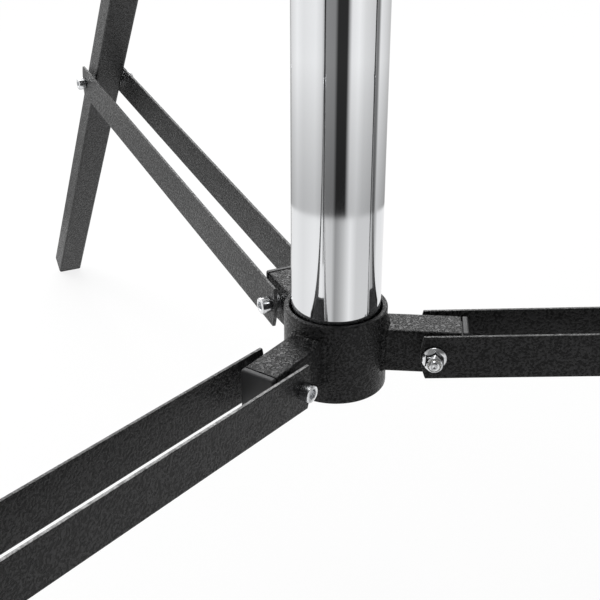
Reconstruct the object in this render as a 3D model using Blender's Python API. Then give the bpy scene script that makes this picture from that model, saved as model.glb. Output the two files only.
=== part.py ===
# Wind-up light stand: a chromed telescopic mast on a folding three-legged base,
# raised by a geared hand winch. Metres and degrees, +Z up, the floor at z = 0.
# The origin is the middle of the rectangle that the three feet span on the floor.

import math

import bmesh
import bpy
from mathutils import Matrix, Vector

# Clearances
SEAT_GAP = 0.0003            # left between pieces that rest on or turn in each other

# Mast and its two sections
MAST_DIAMETER = 0.050
FIRST_DIAMETER = 0.038
SECOND_DIAMETER = 0.028
TUBE_WALL = 0.0015
FIRST_ENGAGED = 0.200        # first section still inside the mast at full height
SECOND_ENGAGED = 0.160
BUSH_HEIGHT = 0.036
BUSH_LIP = 0.005

# Hub at the mast's foot
HUB_DIAMETER = 0.058
HUB_BORE = 0.052
HUB_HEIGHT = 0.048
HUB_CHAMFER = 0.0007
HUB_LIP_BORE = 0.044
HUB_LIP_HEIGHT = 0.004
LUG_WIDTH = 0.021
LUG_HEIGHT = 0.026
LUG_WALL = 0.002
LUG_DROP = 0.010             # hub's rim down to the lug's top
LUG_REACH = 0.070            # mast axis to the lug's open end
LUG_PLUG_LIP = 0.0043
PLUG_DEPTH = 0.010

# Arms
ARM_COUNT = 3
FIRST_ARM_AZIMUTH = -5.0

# Braces, each a pair of flat bars
PIVOT_RADIUS = 0.0555        # mast axis to both the brace's and the leg's pivot
BRACE_LENGTH = 0.394         # pivot to pivot
BRACE_RISE = 3.9
BRACE_HEIGHT = 0.026
BRACE_THICKNESS = 0.002
BRACE_SPACING = 0.0288       # between the two bars' inner faces
BRACE_OVERHANG = 0.0075
BRACE_END_RADIUS = 0.041

# Legs
LEG_WIDTH = 0.0235
LEG_DEPTH = 0.020
LEG_WALL = 0.0015
LEG_CORNER = 0.002
LEG_LEAN = 38.25             # from the vertical
LEG_BELOW_KNEE = 0.336
LEG_ABOVE_PIVOT = 0.012
LEG_PLUG_DEPTH = 0.007       # kept short of the pivot bolt
FOOT_CAP_LIP = 0.003

# Sliding leg collar
COLLAR_DIAMETER = 0.060
COLLAR_BORE = 0.0508
COLLAR_HEIGHT = 0.060
EAR_HEIGHT = 0.028
EAR_REACH = 0.069
EAR_THICKNESS = 0.003
EAR_PLAY = 0.0008            # ear to leg, each side

# Fasteners
BOLT_DIAMETER = 0.006
BOLT_HEAD_DIAMETER = 0.010
BOLT_HEAD_HEIGHT = 0.006
BOLT_SOCKET = 0.005
BOLT_SOCKET_DEPTH = 0.003
SPACER_DIAMETER = 0.012
NUT_FLANGE_DIAMETER = 0.0142
NUT_FLANGE_HEIGHT = 0.0012
NUT_FLATS = 0.010
NUT_HEIGHT = 0.0055
NUT_COLLAR_DIAMETER = 0.0092
NUT_COLLAR_HEIGHT = 0.0014
BOLT_END = 0.0012

# Winch, on the mast between the folded collar and the head
WINCH_OFFSET = -60.0         # from the first arm's azimuth, midway between two arms
PLATE_THICKNESS = 0.004
SIDE_THICKNESS = 0.003
SIDE_SPACING = 0.064
SIDE_DEPTH = 0.084
PLATE_WIDTH = 0.078
PLATE_OVER_SIDE = 0.028      # the back plate past the side plates, at each end
PLATE_MARGIN = 0.010         # above the folded collar
DRUM_CORE_DIAMETER = 0.042
DRUM_FLANGE_DIAMETER = 0.068
DRUM_FLANGE_THICKNESS = 0.003
DRUM_INSIDE = 0.038
DRUM_LEFT = -0.0225
SHAFT_DIAMETER = 0.012
GEAR_MODULE = 0.002
GEAR_TEETH = 36
PINION_TEETH = 12
GEAR_THICKNESS = 0.008
GEAR_BACKLASH = 0.00035
GEAR_CLEARANCE = 0.003
RATCHET_DIAMETER = 0.040
RATCHET_TEETH = 12
RATCHET_THICKNESS = 0.004
PAWL_PIN_DIAMETER = 0.008
PAWL_EYE_DIAMETER = 0.013
PAWL_NOSE_DIAMETER = 0.006
PAWL_LENGTH = 0.026
PAWL_NOSE_ANGLE = 75.0       # where the nose rides on the ratchet, up from level
PAWL_HEADING = 157.0         # from the nose to the pin, likewise
CRANK_LENGTH = 0.170
CRANK_WIDTH = 0.022
CRANK_THICKNESS = 0.005
CRANK_STANDOFF = 0.015       # side plate to crank arm
CRANK_SEAT_DIAMETER = 0.010
GRIP_DIAMETER = 0.028
GRIP_LENGTH = 0.092
GRIP_PIN_DIAMETER = 0.010
UBOLT_DIAMETER = 0.008
UBOLT_NUT_DIAMETER = 0.014
UBOLT_NUT_HEIGHT = 0.0065

# Ropes, pulleys and lifting heads
WINCH_ROPE_DIAMETER = 0.003
LIFT_ROPE_DIAMETER = 0.0025
ROPE_PITCH = 0.0035
ROPE_TURNS = 5               # left on the drum when the stand is down
LIFT_TURNS = 7               # turns of the drum from lowest to highest
HEAD_PULLEY_RADIUS = 0.018   # to the middle of the rope
SECTION_PULLEY_RADIUS = 0.012
PULLEY_THICKNESS = 0.0075
PULLEY_PIN_DIAMETER = 0.007
CHEEK_THICKNESS = 0.0042
HEAD_WALL = 0.006
HEAD_SLEEVE = 0.045
HEAD_GUIDE = 0.050
HEAD_ABOVE_WINCH = 0.020
SECTION_SLEEVE = 0.035
SECTION_GUIDE = 0.032
SPIGOT_SKIRT = 0.035
SPIGOT_FLOOR = 0.006
SPIGOT_SOCKET_DIAMETER = 0.0288
SPIGOT_SOCKET_DEPTH = 0.060
SPIGOT_WALL = 0.0056

# Knobs
KNOB_SHANK_DIAMETER = 0.008
KNOB_DEPTH = 0.020
CLAMP_KNOB_DIAMETER = 0.044
HEAD_KNOB_DIAMETER = 0.034
KNOB_BOSS_DIAMETER = 0.018
KNOB_BOSS_LENGTH = 0.010

# Smoothness
ROUND_STEPS = 32             # mast, hub and collar
HEAD_STEPS = 28              # inner sections and lifting heads
SMALL_STEPS = 20
KNOB_STEPS = 18
HOLE_STEPS = 12
BOLT_STEPS = 12
LOOP_STEPS = 24

# Worked out from the sizes above
rise = math.radians(BRACE_RISE)
lean = math.radians(LEG_LEAN)
leg_above_knee = BRACE_LENGTH * math.cos(rise) / math.sin(lean)
knee_height = ((LEG_BELOW_KNEE + FOOT_CAP_LIP) * math.cos(lean)
               + LEG_DEPTH / 2 * math.sin(lean))
hub_pivot_z = knee_height - BRACE_LENGTH * math.sin(rise)
hub_top = hub_pivot_z + LUG_HEIGHT / 2 + LUG_DROP
hub_bottom = hub_top - HUB_HEIGHT
collar_pivot_z = knee_height + leg_above_knee * math.cos(lean)
folded_pivot_z = hub_pivot_z + BRACE_LENGTH + leg_above_knee
fold_travel = folded_pivot_z - collar_pivot_z
foot_radius = (PIVOT_RADIUS + BRACE_LENGTH * math.cos(rise)
               + (LEG_BELOW_KNEE + FOOT_CAP_LIP) * math.sin(lean)
               + LEG_DEPTH / 2 * math.cos(lean))
winch_azimuth = FIRST_ARM_AZIMUTH + WINCH_OFFSET

gear_radius = GEAR_MODULE * GEAR_TEETH / 2
pinion_radius = GEAR_MODULE * PINION_TEETH / 2
gear_addendum = 0.8 * GEAR_MODULE
gear_dedendum = 1.1 * GEAR_MODULE
gear_distance = gear_radius + pinion_radius
plate_face = MAST_DIAMETER / 2 + SEAT_GAP
drum_x = plate_face + PLATE_THICKNESS + GEAR_CLEARANCE + gear_radius + gear_addendum
ratchet_y = SIDE_SPACING / 2 + SIDE_THICKNESS + 0.004
nose_reach = (RATCHET_DIAMETER + PAWL_NOSE_DIAMETER) / 2 + SEAT_GAP
pawl_x = (drum_x + nose_reach * math.cos(math.radians(PAWL_NOSE_ANGLE))
          + PAWL_LENGTH * math.cos(math.radians(PAWL_HEADING)))
pawl_z = (-gear_distance + nose_reach * math.sin(math.radians(PAWL_NOSE_ANGLE))
          + PAWL_LENGTH * math.sin(math.radians(PAWL_HEADING)))
side_below = gear_distance + 0.020
side_above = gear_radius + 0.006
winch_z = folded_pivot_z + COLLAR_HEIGHT / 2 + PLATE_MARGIN + PLATE_OVER_SIDE + side_below
winding_radius = (DRUM_CORE_DIAMETER + WINCH_ROPE_DIAMETER) / 2 + SEAT_GAP
lift_travel = LIFT_TURNS * 2 * math.pi * winding_radius

mast_foot = hub_bottom + HUB_LIP_HEIGHT + SEAT_GAP
mast_top = winch_z + side_above + PLATE_OVER_SIDE + HEAD_ABOVE_WINCH + HEAD_SLEEVE
head_top = mast_top + HEAD_GUIDE
section_head_foot = head_top + SEAT_GAP
first_top = section_head_foot + SECTION_SLEEVE
section_head_top = first_top + SECTION_GUIDE
spigot_foot = section_head_top + SEAT_GAP
second_top = spigot_foot + SPIGOT_SKIRT
spigot_top = second_top + SPIGOT_FLOOR + SPIGOT_SOCKET_DEPTH
first_foot = mast_top - FIRST_ENGAGED - lift_travel
second_foot = first_top - SECOND_ENGAGED - lift_travel

mast_bore = MAST_DIAMETER - 2 * TUBE_WALL
first_bore = FIRST_DIAMETER - 2 * TUBE_WALL
winch_rope_x = (mast_bore + FIRST_DIAMETER) / 4      # rope in the middle of the gap
lift_rope_x = (first_bore + SECOND_DIAMETER) / 4
head_pulley_x = winch_rope_x + HEAD_PULLEY_RADIUS
head_pulley_z = mast_top + HEAD_PULLEY_RADIUS + WINCH_ROPE_DIAMETER / 2 + 0.003
section_pulley_x = lift_rope_x + SECTION_PULLEY_RADIUS
section_pulley_z = first_top + SECTION_PULLEY_RADIUS + LIFT_ROPE_DIAMETER / 2 + 0.002


def material(name, colour, metallic, roughness):
    made = bpy.data.materials.new(name)
    made.use_nodes = True
    shader = made.node_tree.nodes["Principled BSDF"]
    shader.inputs["Base Color"].default_value = (*colour, 1.0)
    shader.inputs["Metallic"].default_value = metallic
    shader.inputs["Roughness"].default_value = roughness
    made.diffuse_color = (*colour, 1.0)
    return made


def empty(name, parent=None, location=(0, 0, 0), turn_z=0.0, turn_y=0.0):
    made = bpy.data.objects.new(name, None)
    bpy.context.scene.collection.objects.link(made)
    made.parent = parent
    made.location = location
    made.rotation_euler = (0, math.radians(turn_y), math.radians(turn_z))
    return made


def add_object(name, data, finish, parent, location=(0, 0, 0), turn_x=0.0, turn_y=0.0, turn_z=0.0):
    made = bpy.data.objects.new(name, data)
    bpy.context.scene.collection.objects.link(made)
    made.parent = parent
    made.location = location
    made.rotation_euler = (math.radians(turn_x), math.radians(turn_y), math.radians(turn_z))
    data.materials.append(finish)
    if isinstance(data, bpy.types.Mesh):
        data.shade_smooth()
        data.set_sharp_from_angle(angle=math.radians(35))
    return made


def mesh_from(bm, name):
    bmesh.ops.recalc_face_normals(bm, faces=bm.faces)
    mesh = bpy.data.meshes.new(name)
    bm.to_mesh(mesh)
    bm.free()
    return mesh


def boolean(target, operation, parts):
    # The parts only shape the target and aren't pieces themselves.
    for part in parts:
        part.hide_render = True
        part.display_type = 'WIRE'
        step = target.modifiers.new(operation.title(), 'BOOLEAN')
        step.operation = operation
        step.solver = 'EXACT'
        step.object = part


def round_ring(z, radius, steps, offset=0.0):
    # offset is in steps.
    return [Vector((radius * math.cos(a), radius * math.sin(a), z))
            for a in (2 * math.pi * (i + offset) / steps for i in range(steps))]


def hex_ring(z, flats, steps):
    # Corners fall on every sixth of the turn.
    ring = []
    for i in range(steps):
        angle = 2 * math.pi * i / steps
        off = angle % (math.pi / 3) - math.pi / 6
        reach = flats / 2 / math.cos(off)
        ring.append(Vector((reach * math.cos(angle), reach * math.sin(angle), z)))
    return ring


def box_ring(z, width_x, width_y, corner, steps=3):
    # A rectangle with rounded corners, anticlockwise.
    ring = []
    for quarter in range(4):
        start = quarter * math.pi / 2
        sign_x = 1 if quarter in (0, 3) else -1
        sign_y = 1 if quarter in (0, 1) else -1
        centre = Vector((sign_x * (width_x / 2 - corner), sign_y * (width_y / 2 - corner), z))
        for i in range(steps):
            angle = start + math.pi / 2 * i / (steps - 1)
            ring.append(centre + Vector((corner * math.cos(angle), corner * math.sin(angle), 0)))
    return ring


def loft(bm, rings, closed=False):
    # Skins equal rings in order; closed joins the last to the first, else both ends are capped.
    loops = [[bm.verts.new(point) for point in ring] for ring in rings]
    pairs = list(zip(loops, loops[1:]))
    if closed:
        pairs.append((loops[-1], loops[0]))
    else:
        bm.faces.new(loops[0])
        bm.faces.new(loops[-1])
    for low, high in pairs:
        count = len(low)
        for i in range(count):
            j = (i + 1) % count
            bm.faces.new((low[i], low[j], high[j], high[i]))


def loft_mesh(name, rings, closed=False):
    bm = bmesh.new()
    loft(bm, rings, closed)
    return mesh_from(bm, name)


def turned(name, profile, steps, closed=False):
    # profile is a list of (radius, height).
    return loft_mesh(name, [round_ring(z, r, steps) for r, z in profile], closed)


def sleeve_mesh(name, inner, outer, low, high, steps):
    profile = [(inner, low), (outer, low), (outer, high), (inner, high)]
    return turned(name, profile, steps, closed=True)


def circle(radius, steps, x=0.0, y=0.0):
    return [(x + radius * math.cos(2 * math.pi * i / steps),
             y + radius * math.sin(2 * math.pi * i / steps)) for i in range(steps)]


def arc(x, y, radius, start, end, steps):
    angles = [math.radians(start + (end - start) * i / steps) for i in range(steps + 1)]
    return [(x + radius * math.cos(a), y + radius * math.sin(a)) for a in angles]


def add_plate(bm, outline, thickness, holes=()):
    # A flat plate in XY, its thickness centred on z = 0.
    edges = []
    for loop in (outline, *holes):
        verts = [bm.verts.new((x, y, -thickness / 2)) for x, y in loop]
        edges += [bm.edges.new((a, b)) for a, b in zip(verts, verts[1:] + verts[:1])]
    filled = bmesh.ops.triangle_fill(bm, use_beauty=True, edges=edges, normal=(0, 0, 1))
    faces = [f for f in filled["geom"] if isinstance(f, bmesh.types.BMFace)]
    raised = bmesh.ops.extrude_face_region(bm, geom=faces, use_keep_orig=True)
    verts = [v for v in raised["geom"] if isinstance(v, bmesh.types.BMVert)]
    bmesh.ops.translate(bm, verts=verts, vec=(0, 0, thickness))


def plate_mesh(name, outline, thickness, holes=()):
    bm = bmesh.new()
    add_plate(bm, outline, thickness, holes)
    return mesh_from(bm, name)


def slot_outline(length, radius_a, radius_b, steps=8):
    # Two round ends, the first at the origin and the second at x = length.
    return (arc(0, 0, radius_a, 90, 270, steps) + arc(length, 0, radius_b, -90, 90, steps))


def box_outline(low_x, high_x, low_y, high_y):
    return [(low_x, low_y), (high_x, low_y), (high_x, high_y), (low_x, high_y)]


def add_box(bm, low, high):
    size = [b - a for a, b in zip(low, high)]
    middle = [(a + b) / 2 for a, b in zip(low, high)]
    bmesh.ops.create_cube(bm, size=1.0, matrix=Matrix.LocRotScale(middle, None, size))


def add_rod(bm, start, end, radius, steps=HOLE_STEPS):
    axis = Vector(end) - Vector(start)
    place = Matrix.Translation(start) @ axis.to_track_quat('Z', 'Y').to_matrix().to_4x4()
    rings = [[place @ p for p in round_ring(z, radius, steps, 0.5)] for z in (0, axis.length)]
    loft(bm, rings)


def copy_round(bm, count):
    bmesh.ops.spin(bm, geom=bm.verts[:] + bm.edges[:] + bm.faces[:], cent=(0, 0, 0),
                   axis=(0, 0, 1), angle=2 * math.pi * (count - 1) / count,
                   steps=count - 1, use_duplicate=True)


# Fasteners are turned shapes along z, head at the top and nut at the bottom.

def head_rings(seat):
    top = seat + BOLT_HEAD_HEIGHT
    steps = BOLT_STEPS
    return [hex_ring(top - BOLT_SOCKET_DEPTH, BOLT_SOCKET, steps),
            hex_ring(top, BOLT_SOCKET, steps),
            round_ring(top, BOLT_HEAD_DIAMETER / 2, steps),
            round_ring(seat, BOLT_HEAD_DIAMETER / 2, steps),
            round_ring(seat, BOLT_DIAMETER / 2, steps)]


def nut_rings(seat):
    steps = BOLT_STEPS
    flange_end = seat - NUT_FLANGE_HEIGHT
    nut_end = flange_end - NUT_HEIGHT
    collar_end = nut_end - NUT_COLLAR_HEIGHT
    return [round_ring(seat, BOLT_DIAMETER / 2, steps),
            round_ring(seat, NUT_FLANGE_DIAMETER / 2, steps),
            round_ring(flange_end, NUT_FLANGE_DIAMETER / 2, steps),
            hex_ring(flange_end, NUT_FLATS, steps),
            hex_ring(nut_end, NUT_FLATS, steps),
            round_ring(nut_end, NUT_COLLAR_DIAMETER / 2, steps),
            round_ring(collar_end, NUT_COLLAR_DIAMETER / 2, steps),
            round_ring(collar_end, BOLT_DIAMETER / 2, steps),
            round_ring(collar_end - BOLT_END, BOLT_DIAMETER / 2, steps)]


def spacer_rings(top, bottom):
    return [round_ring(top, BOLT_DIAMETER / 2, BOLT_STEPS),
            round_ring(top, SPACER_DIAMETER / 2, BOLT_STEPS),
            round_ring(bottom, SPACER_DIAMETER / 2, BOLT_STEPS),
            round_ring(bottom, BOLT_DIAMETER / 2, BOLT_STEPS)]


brace_inner = BRACE_SPACING / 2
brace_outer = brace_inner + BRACE_THICKNESS
ear_inner = LEG_WIDTH / 2 + EAR_PLAY
ear_outer = ear_inner + EAR_THICKNESS


def hub_bolt_mesh():
    lug_side = LUG_WIDTH / 2
    rings = (head_rings(brace_outer + SEAT_GAP)
             + spacer_rings(brace_inner - SEAT_GAP, lug_side + SEAT_GAP)
             + spacer_rings(-lug_side - SEAT_GAP, -brace_inner + SEAT_GAP)
             + nut_rings(-brace_outer - SEAT_GAP))
    return loft_mesh("hub_bolt", rings)


def knee_bolt_mesh():
    # The screw's half: it ends at the leg's side, because the knee is the open pivot.
    spacer = spacer_rings(brace_inner - SEAT_GAP, LEG_WIDTH / 2 + SEAT_GAP)
    return loft_mesh("knee_bolt", head_rings(brace_outer + SEAT_GAP) + spacer[:-1])


def knee_nut_mesh():
    spacer = spacer_rings(-LEG_WIDTH / 2 - SEAT_GAP, -brace_inner + SEAT_GAP)
    return loft_mesh("knee_nut", spacer[1:] + nut_rings(-brace_outer - SEAT_GAP))


def collar_bolt_mesh():
    rings = head_rings(ear_outer + SEAT_GAP) + nut_rings(-ear_outer - SEAT_GAP)
    return loft_mesh("collar_bolt", rings)


def plug_mesh(width_x, width_y, wall, lip, depth=PLUG_DEPTH):
    # Seated at z = 0 on the tube's end, lip above and core below.
    core_x = width_x - 2 * wall - 2 * SEAT_GAP
    core_y = width_y - 2 * wall - 2 * SEAT_GAP
    soft = lip / 4
    rings = [box_ring(-depth, core_x, core_y, LEG_CORNER / 4),
             box_ring(SEAT_GAP, core_x, core_y, LEG_CORNER / 4),
             box_ring(SEAT_GAP, width_x, width_y, LEG_CORNER),
             box_ring(lip - soft, width_x, width_y, LEG_CORNER),
             box_ring(lip, width_x - 2 * soft, width_y - 2 * soft, LEG_CORNER - soft / 2)]
    return loft_mesh("plug", rings)


def knob_mesh(diameter, shank_length, lobes, depth_of_lobe):
    # Tip of the shank at z = 0, head beyond shank_length.
    def lobed(z, radius):
        ring = []
        for i in range(KNOB_STEPS):
            angle = 2 * math.pi * i / KNOB_STEPS
            reach = radius * (1 - depth_of_lobe * (0.5 - 0.5 * math.cos(lobes * angle)))
            ring.append(Vector((reach * math.cos(angle), reach * math.sin(angle), z)))
        return ring

    radius = diameter / 2
    shank = KNOB_SHANK_DIAMETER / 2
    base = shank_length
    rings = [round_ring(0, shank, KNOB_STEPS),
             round_ring(base, shank, KNOB_STEPS),
             round_ring(base, shank * 1.8, KNOB_STEPS),
             round_ring(base + KNOB_DEPTH * 0.3, shank * 1.8, KNOB_STEPS),
             lobed(base + KNOB_DEPTH * 0.3, radius * 0.94),
             lobed(base + KNOB_DEPTH * 0.45, radius),
             lobed(base + KNOB_DEPTH * 0.85, radius),
             lobed(base + KNOB_DEPTH, radius * 0.86)]
    return loft_mesh("knob", rings)


def gear_outline(teeth, module, phase):
    # Stub involute teeth, one centred on phase degrees.
    pitch = module * teeth / 2
    base = pitch * math.cos(math.radians(20))
    tip = pitch + gear_addendum
    root = pitch - gear_dedendum

    def half_angle(radius):
        radius = max(radius, base)
        pressure = math.acos(base / radius)
        rolled = math.tan(pressure) - pressure
        at_pitch = math.tan(math.radians(20)) - math.radians(20)
        return math.pi / (2 * teeth) + at_pitch - rolled - GEAR_BACKLASH / (2 * pitch)

    flank = [root, base, pitch, tip] if base > root + 0.0002 else [root, pitch, tip]
    outline = []
    for tooth in range(teeth):
        centre = math.radians(phase) + 2 * math.pi * tooth / teeth
        left = [(r, centre - half_angle(r)) for r in flank]
        right = [(r, centre + half_angle(r)) for r in reversed(flank)]
        outline += [(r * math.cos(a), r * math.sin(a)) for r, a in left + right]
    return outline


def ratchet_outline():
    outline = []
    tip = RATCHET_DIAMETER / 2
    root = tip * 0.84
    for tooth in range(RATCHET_TEETH):
        angle = 2 * math.pi * tooth / RATCHET_TEETH
        steep = angle + 2 * math.pi / RATCHET_TEETH
        outline.append((root * math.cos(angle), root * math.sin(angle)))
        outline.append((tip * math.cos(steep), tip * math.sin(steep)))
    return outline


def pulley_mesh(rope_radius, rope_diameter):
    flange = rope_radius + rope_diameter / 2
    groove = rope_radius - rope_diameter / 2 - SEAT_GAP
    bore = PULLEY_PIN_DIAMETER / 2 + SEAT_GAP
    half = PULLEY_THICKNESS / 2
    floor = rope_diameter * 0.45
    profile = [(bore, -half), (flange, -half), (flange, -half + 0.0008), (groove, -floor),
               (groove, floor), (flange, half - 0.0008), (flange, half), (bore, half)]
    return turned("pulley", profile, SMALL_STEPS, closed=True)


def rope_object(name, points, diameter, finish, parent, resolution):
    curve = bpy.data.curves.new(name, 'CURVE')
    curve.dimensions = '3D'
    curve.bevel_depth = diameter / 2
    curve.bevel_resolution = resolution
    curve.use_fill_caps = True
    spline = curve.splines.new('POLY')
    spline.points.add(len(points) - 1)
    for target, point in zip(spline.points, points):
        target.co = (*point, 1.0)
    return add_object(name, curve, finish, parent)


def make_mast(stand, finishes):
    mesh = sleeve_mesh("mast_tube", mast_bore / 2, MAST_DIAMETER / 2, mast_foot, mast_top, ROUND_STEPS)
    add_object("mast_tube", mesh, finishes["chrome"], stand)


def make_hub(stand, arms, finishes):
    coat = finishes["powder coat"]
    radius = HUB_DIAMETER / 2
    blank = [(radius - HUB_CHAMFER, hub_bottom), (radius, hub_bottom + HUB_CHAMFER),
             (radius, hub_top - HUB_CHAMFER), (radius - HUB_CHAMFER, hub_top)]
    hub = add_object("hub", turned("hub", blank, ROUND_STEPS), coat, stand,
                     turn_z=FIRST_ARM_AZIMUTH)

    lug_low = hub_pivot_z - LUG_HEIGHT / 2
    lug_high = hub_pivot_z + LUG_HEIGHT / 2
    bm = bmesh.new()
    add_box(bm, (HUB_BORE / 2 + 0.0005, -LUG_WIDTH / 2, lug_low), (LUG_REACH, LUG_WIDTH / 2, lug_high))
    copy_round(bm, ARM_COUNT)
    lugs = add_object("hub_lugs_shape", mesh_from(bm, "lugs"), coat, stand, turn_z=FIRST_ARM_AZIMUTH)

    bm = bmesh.new()
    add_box(bm, (radius + LUG_WALL, -LUG_WIDTH / 2 + LUG_WALL, lug_low + LUG_WALL),
            (LUG_REACH + LUG_WALL, LUG_WIDTH / 2 - LUG_WALL, lug_high - LUG_WALL))
    copy_round(bm, ARM_COUNT)
    step = hub_bottom + HUB_LIP_HEIGHT
    bore = [(HUB_LIP_BORE / 2, hub_bottom - LUG_WALL), (HUB_LIP_BORE / 2, step),
            (HUB_BORE / 2, step), (HUB_BORE / 2, hub_top + LUG_WALL)]
    loft(bm, [round_ring(z, r, ROUND_STEPS) for r, z in bore])
    hollow = add_object("hub_hollow_shape", mesh_from(bm, "hollow"), coat, stand,
                        turn_z=FIRST_ARM_AZIMUTH)

    bm = bmesh.new()
    add_rod(bm, (PIVOT_RADIUS, -LUG_WIDTH, hub_pivot_z), (PIVOT_RADIUS, LUG_WIDTH, hub_pivot_z),
            BOLT_DIAMETER / 2 + SEAT_GAP)
    copy_round(bm, ARM_COUNT)
    holes = add_object("hub_holes_shape", mesh_from(bm, "holes"), coat, stand,
                       turn_z=FIRST_ARM_AZIMUTH)
    boolean(hub, 'UNION', [lugs])
    boolean(hub, 'DIFFERENCE', [hollow, holes])

    plug = plug_mesh(LUG_HEIGHT, LUG_WIDTH, LUG_WALL, LUG_PLUG_LIP)
    bolt = hub_bolt_mesh()
    for number, arm in enumerate(arms, 1):
        add_object(f"lug_plug_{number}", plug.copy(), finishes["black plastic"], arm,
                   (LUG_REACH, 0, hub_pivot_z), turn_y=90)
        add_object(f"hub_bolt_{number}", bolt.copy(), finishes["zinc"], arm,
                   (PIVOT_RADIUS, 0, hub_pivot_z), turn_x=-90)


def brace_outline():
    half = BRACE_HEIGHT / 2
    spread = math.degrees(math.asin(half / BRACE_END_RADIUS))
    inner = BRACE_END_RADIUS - BRACE_OVERHANG
    outer = BRACE_LENGTH - inner
    return (arc(inner, 0, BRACE_END_RADIUS, 180 - spread, 180 + spread, 4)
            + arc(outer, 0, BRACE_END_RADIUS, -spread, spread, 4))


def make_braces(arms, finishes):
    hole = BOLT_DIAMETER / 2 + SEAT_GAP
    holes = [circle(hole, BOLT_STEPS), circle(hole, BOLT_STEPS, BRACE_LENGTH)]
    bar = plate_mesh("brace_bar", brace_outline(), BRACE_THICKNESS, holes)
    side = brace_inner + BRACE_THICKNESS / 2
    for number, arm in enumerate(arms, 1):
        pivot = empty(f"brace_pivot_{number}", arm, (PIVOT_RADIUS, 0, hub_pivot_z), turn_y=-BRACE_RISE)
        for name, y in (("left", side), ("right", -side)):
            add_object(f"brace_{name}_{number}", bar.copy(), finishes["powder coat"], pivot,
                       (0, y, 0), turn_x=90)
        knee = (BRACE_LENGTH, 0, 0)
        add_object(f"knee_bolt_{number}", knee_bolt_mesh(), finishes["zinc"], pivot, knee, turn_x=-90)
        add_object(f"knee_nut_{number}", knee_nut_mesh(), finishes["zinc"], pivot, knee, turn_x=-90)


def make_legs(arms, finishes):
    bottom = -(leg_above_knee + LEG_BELOW_KNEE)
    inner_x = LEG_DEPTH - 2 * LEG_WALL
    inner_y = LEG_WIDTH - 2 * LEG_WALL
    inner_corner = LEG_CORNER - LEG_WALL * 0.9
    tube = [box_ring(bottom, LEG_DEPTH, LEG_WIDTH, LEG_CORNER),
            box_ring(LEG_ABOVE_PIVOT, LEG_DEPTH, LEG_WIDTH, LEG_CORNER),
            box_ring(LEG_ABOVE_PIVOT, inner_x, inner_y, inner_corner),
            box_ring(bottom, inner_x, inner_y, inner_corner)]
    bm = bmesh.new()
    add_rod(bm, (0, -LEG_WIDTH, 0), (0, LEG_WIDTH, 0), BOLT_DIAMETER / 2 + SEAT_GAP, BOLT_STEPS)
    hole_mesh = mesh_from(bm, "leg_hole")
    for number, arm in enumerate(arms, 1):
        pivot = empty(f"leg_pivot_{number}", arm, (PIVOT_RADIUS, 0, collar_pivot_z), turn_y=-LEG_LEAN)
        leg = add_object(f"leg_{number}", loft_mesh("leg", tube, closed=True),
                         finishes["powder coat"], pivot)
        hole = add_object(f"leg_hole_shape_{number}", hole_mesh.copy(), finishes["powder coat"], pivot)
        boolean(leg, 'DIFFERENCE', [hole])
        add_object(f"foot_cap_{number}", plug_mesh(LEG_DEPTH, LEG_WIDTH, LEG_WALL, FOOT_CAP_LIP),
                   finishes["black plastic"], pivot, (0, 0, bottom), turn_x=180)
        plug = plug_mesh(LEG_DEPTH, LEG_WIDTH, LEG_WALL, FOOT_CAP_LIP, LEG_PLUG_DEPTH)
        add_object(f"leg_plug_{number}", plug, finishes["black plastic"], pivot,
                   (0, 0, LEG_ABOVE_PIVOT))


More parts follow.
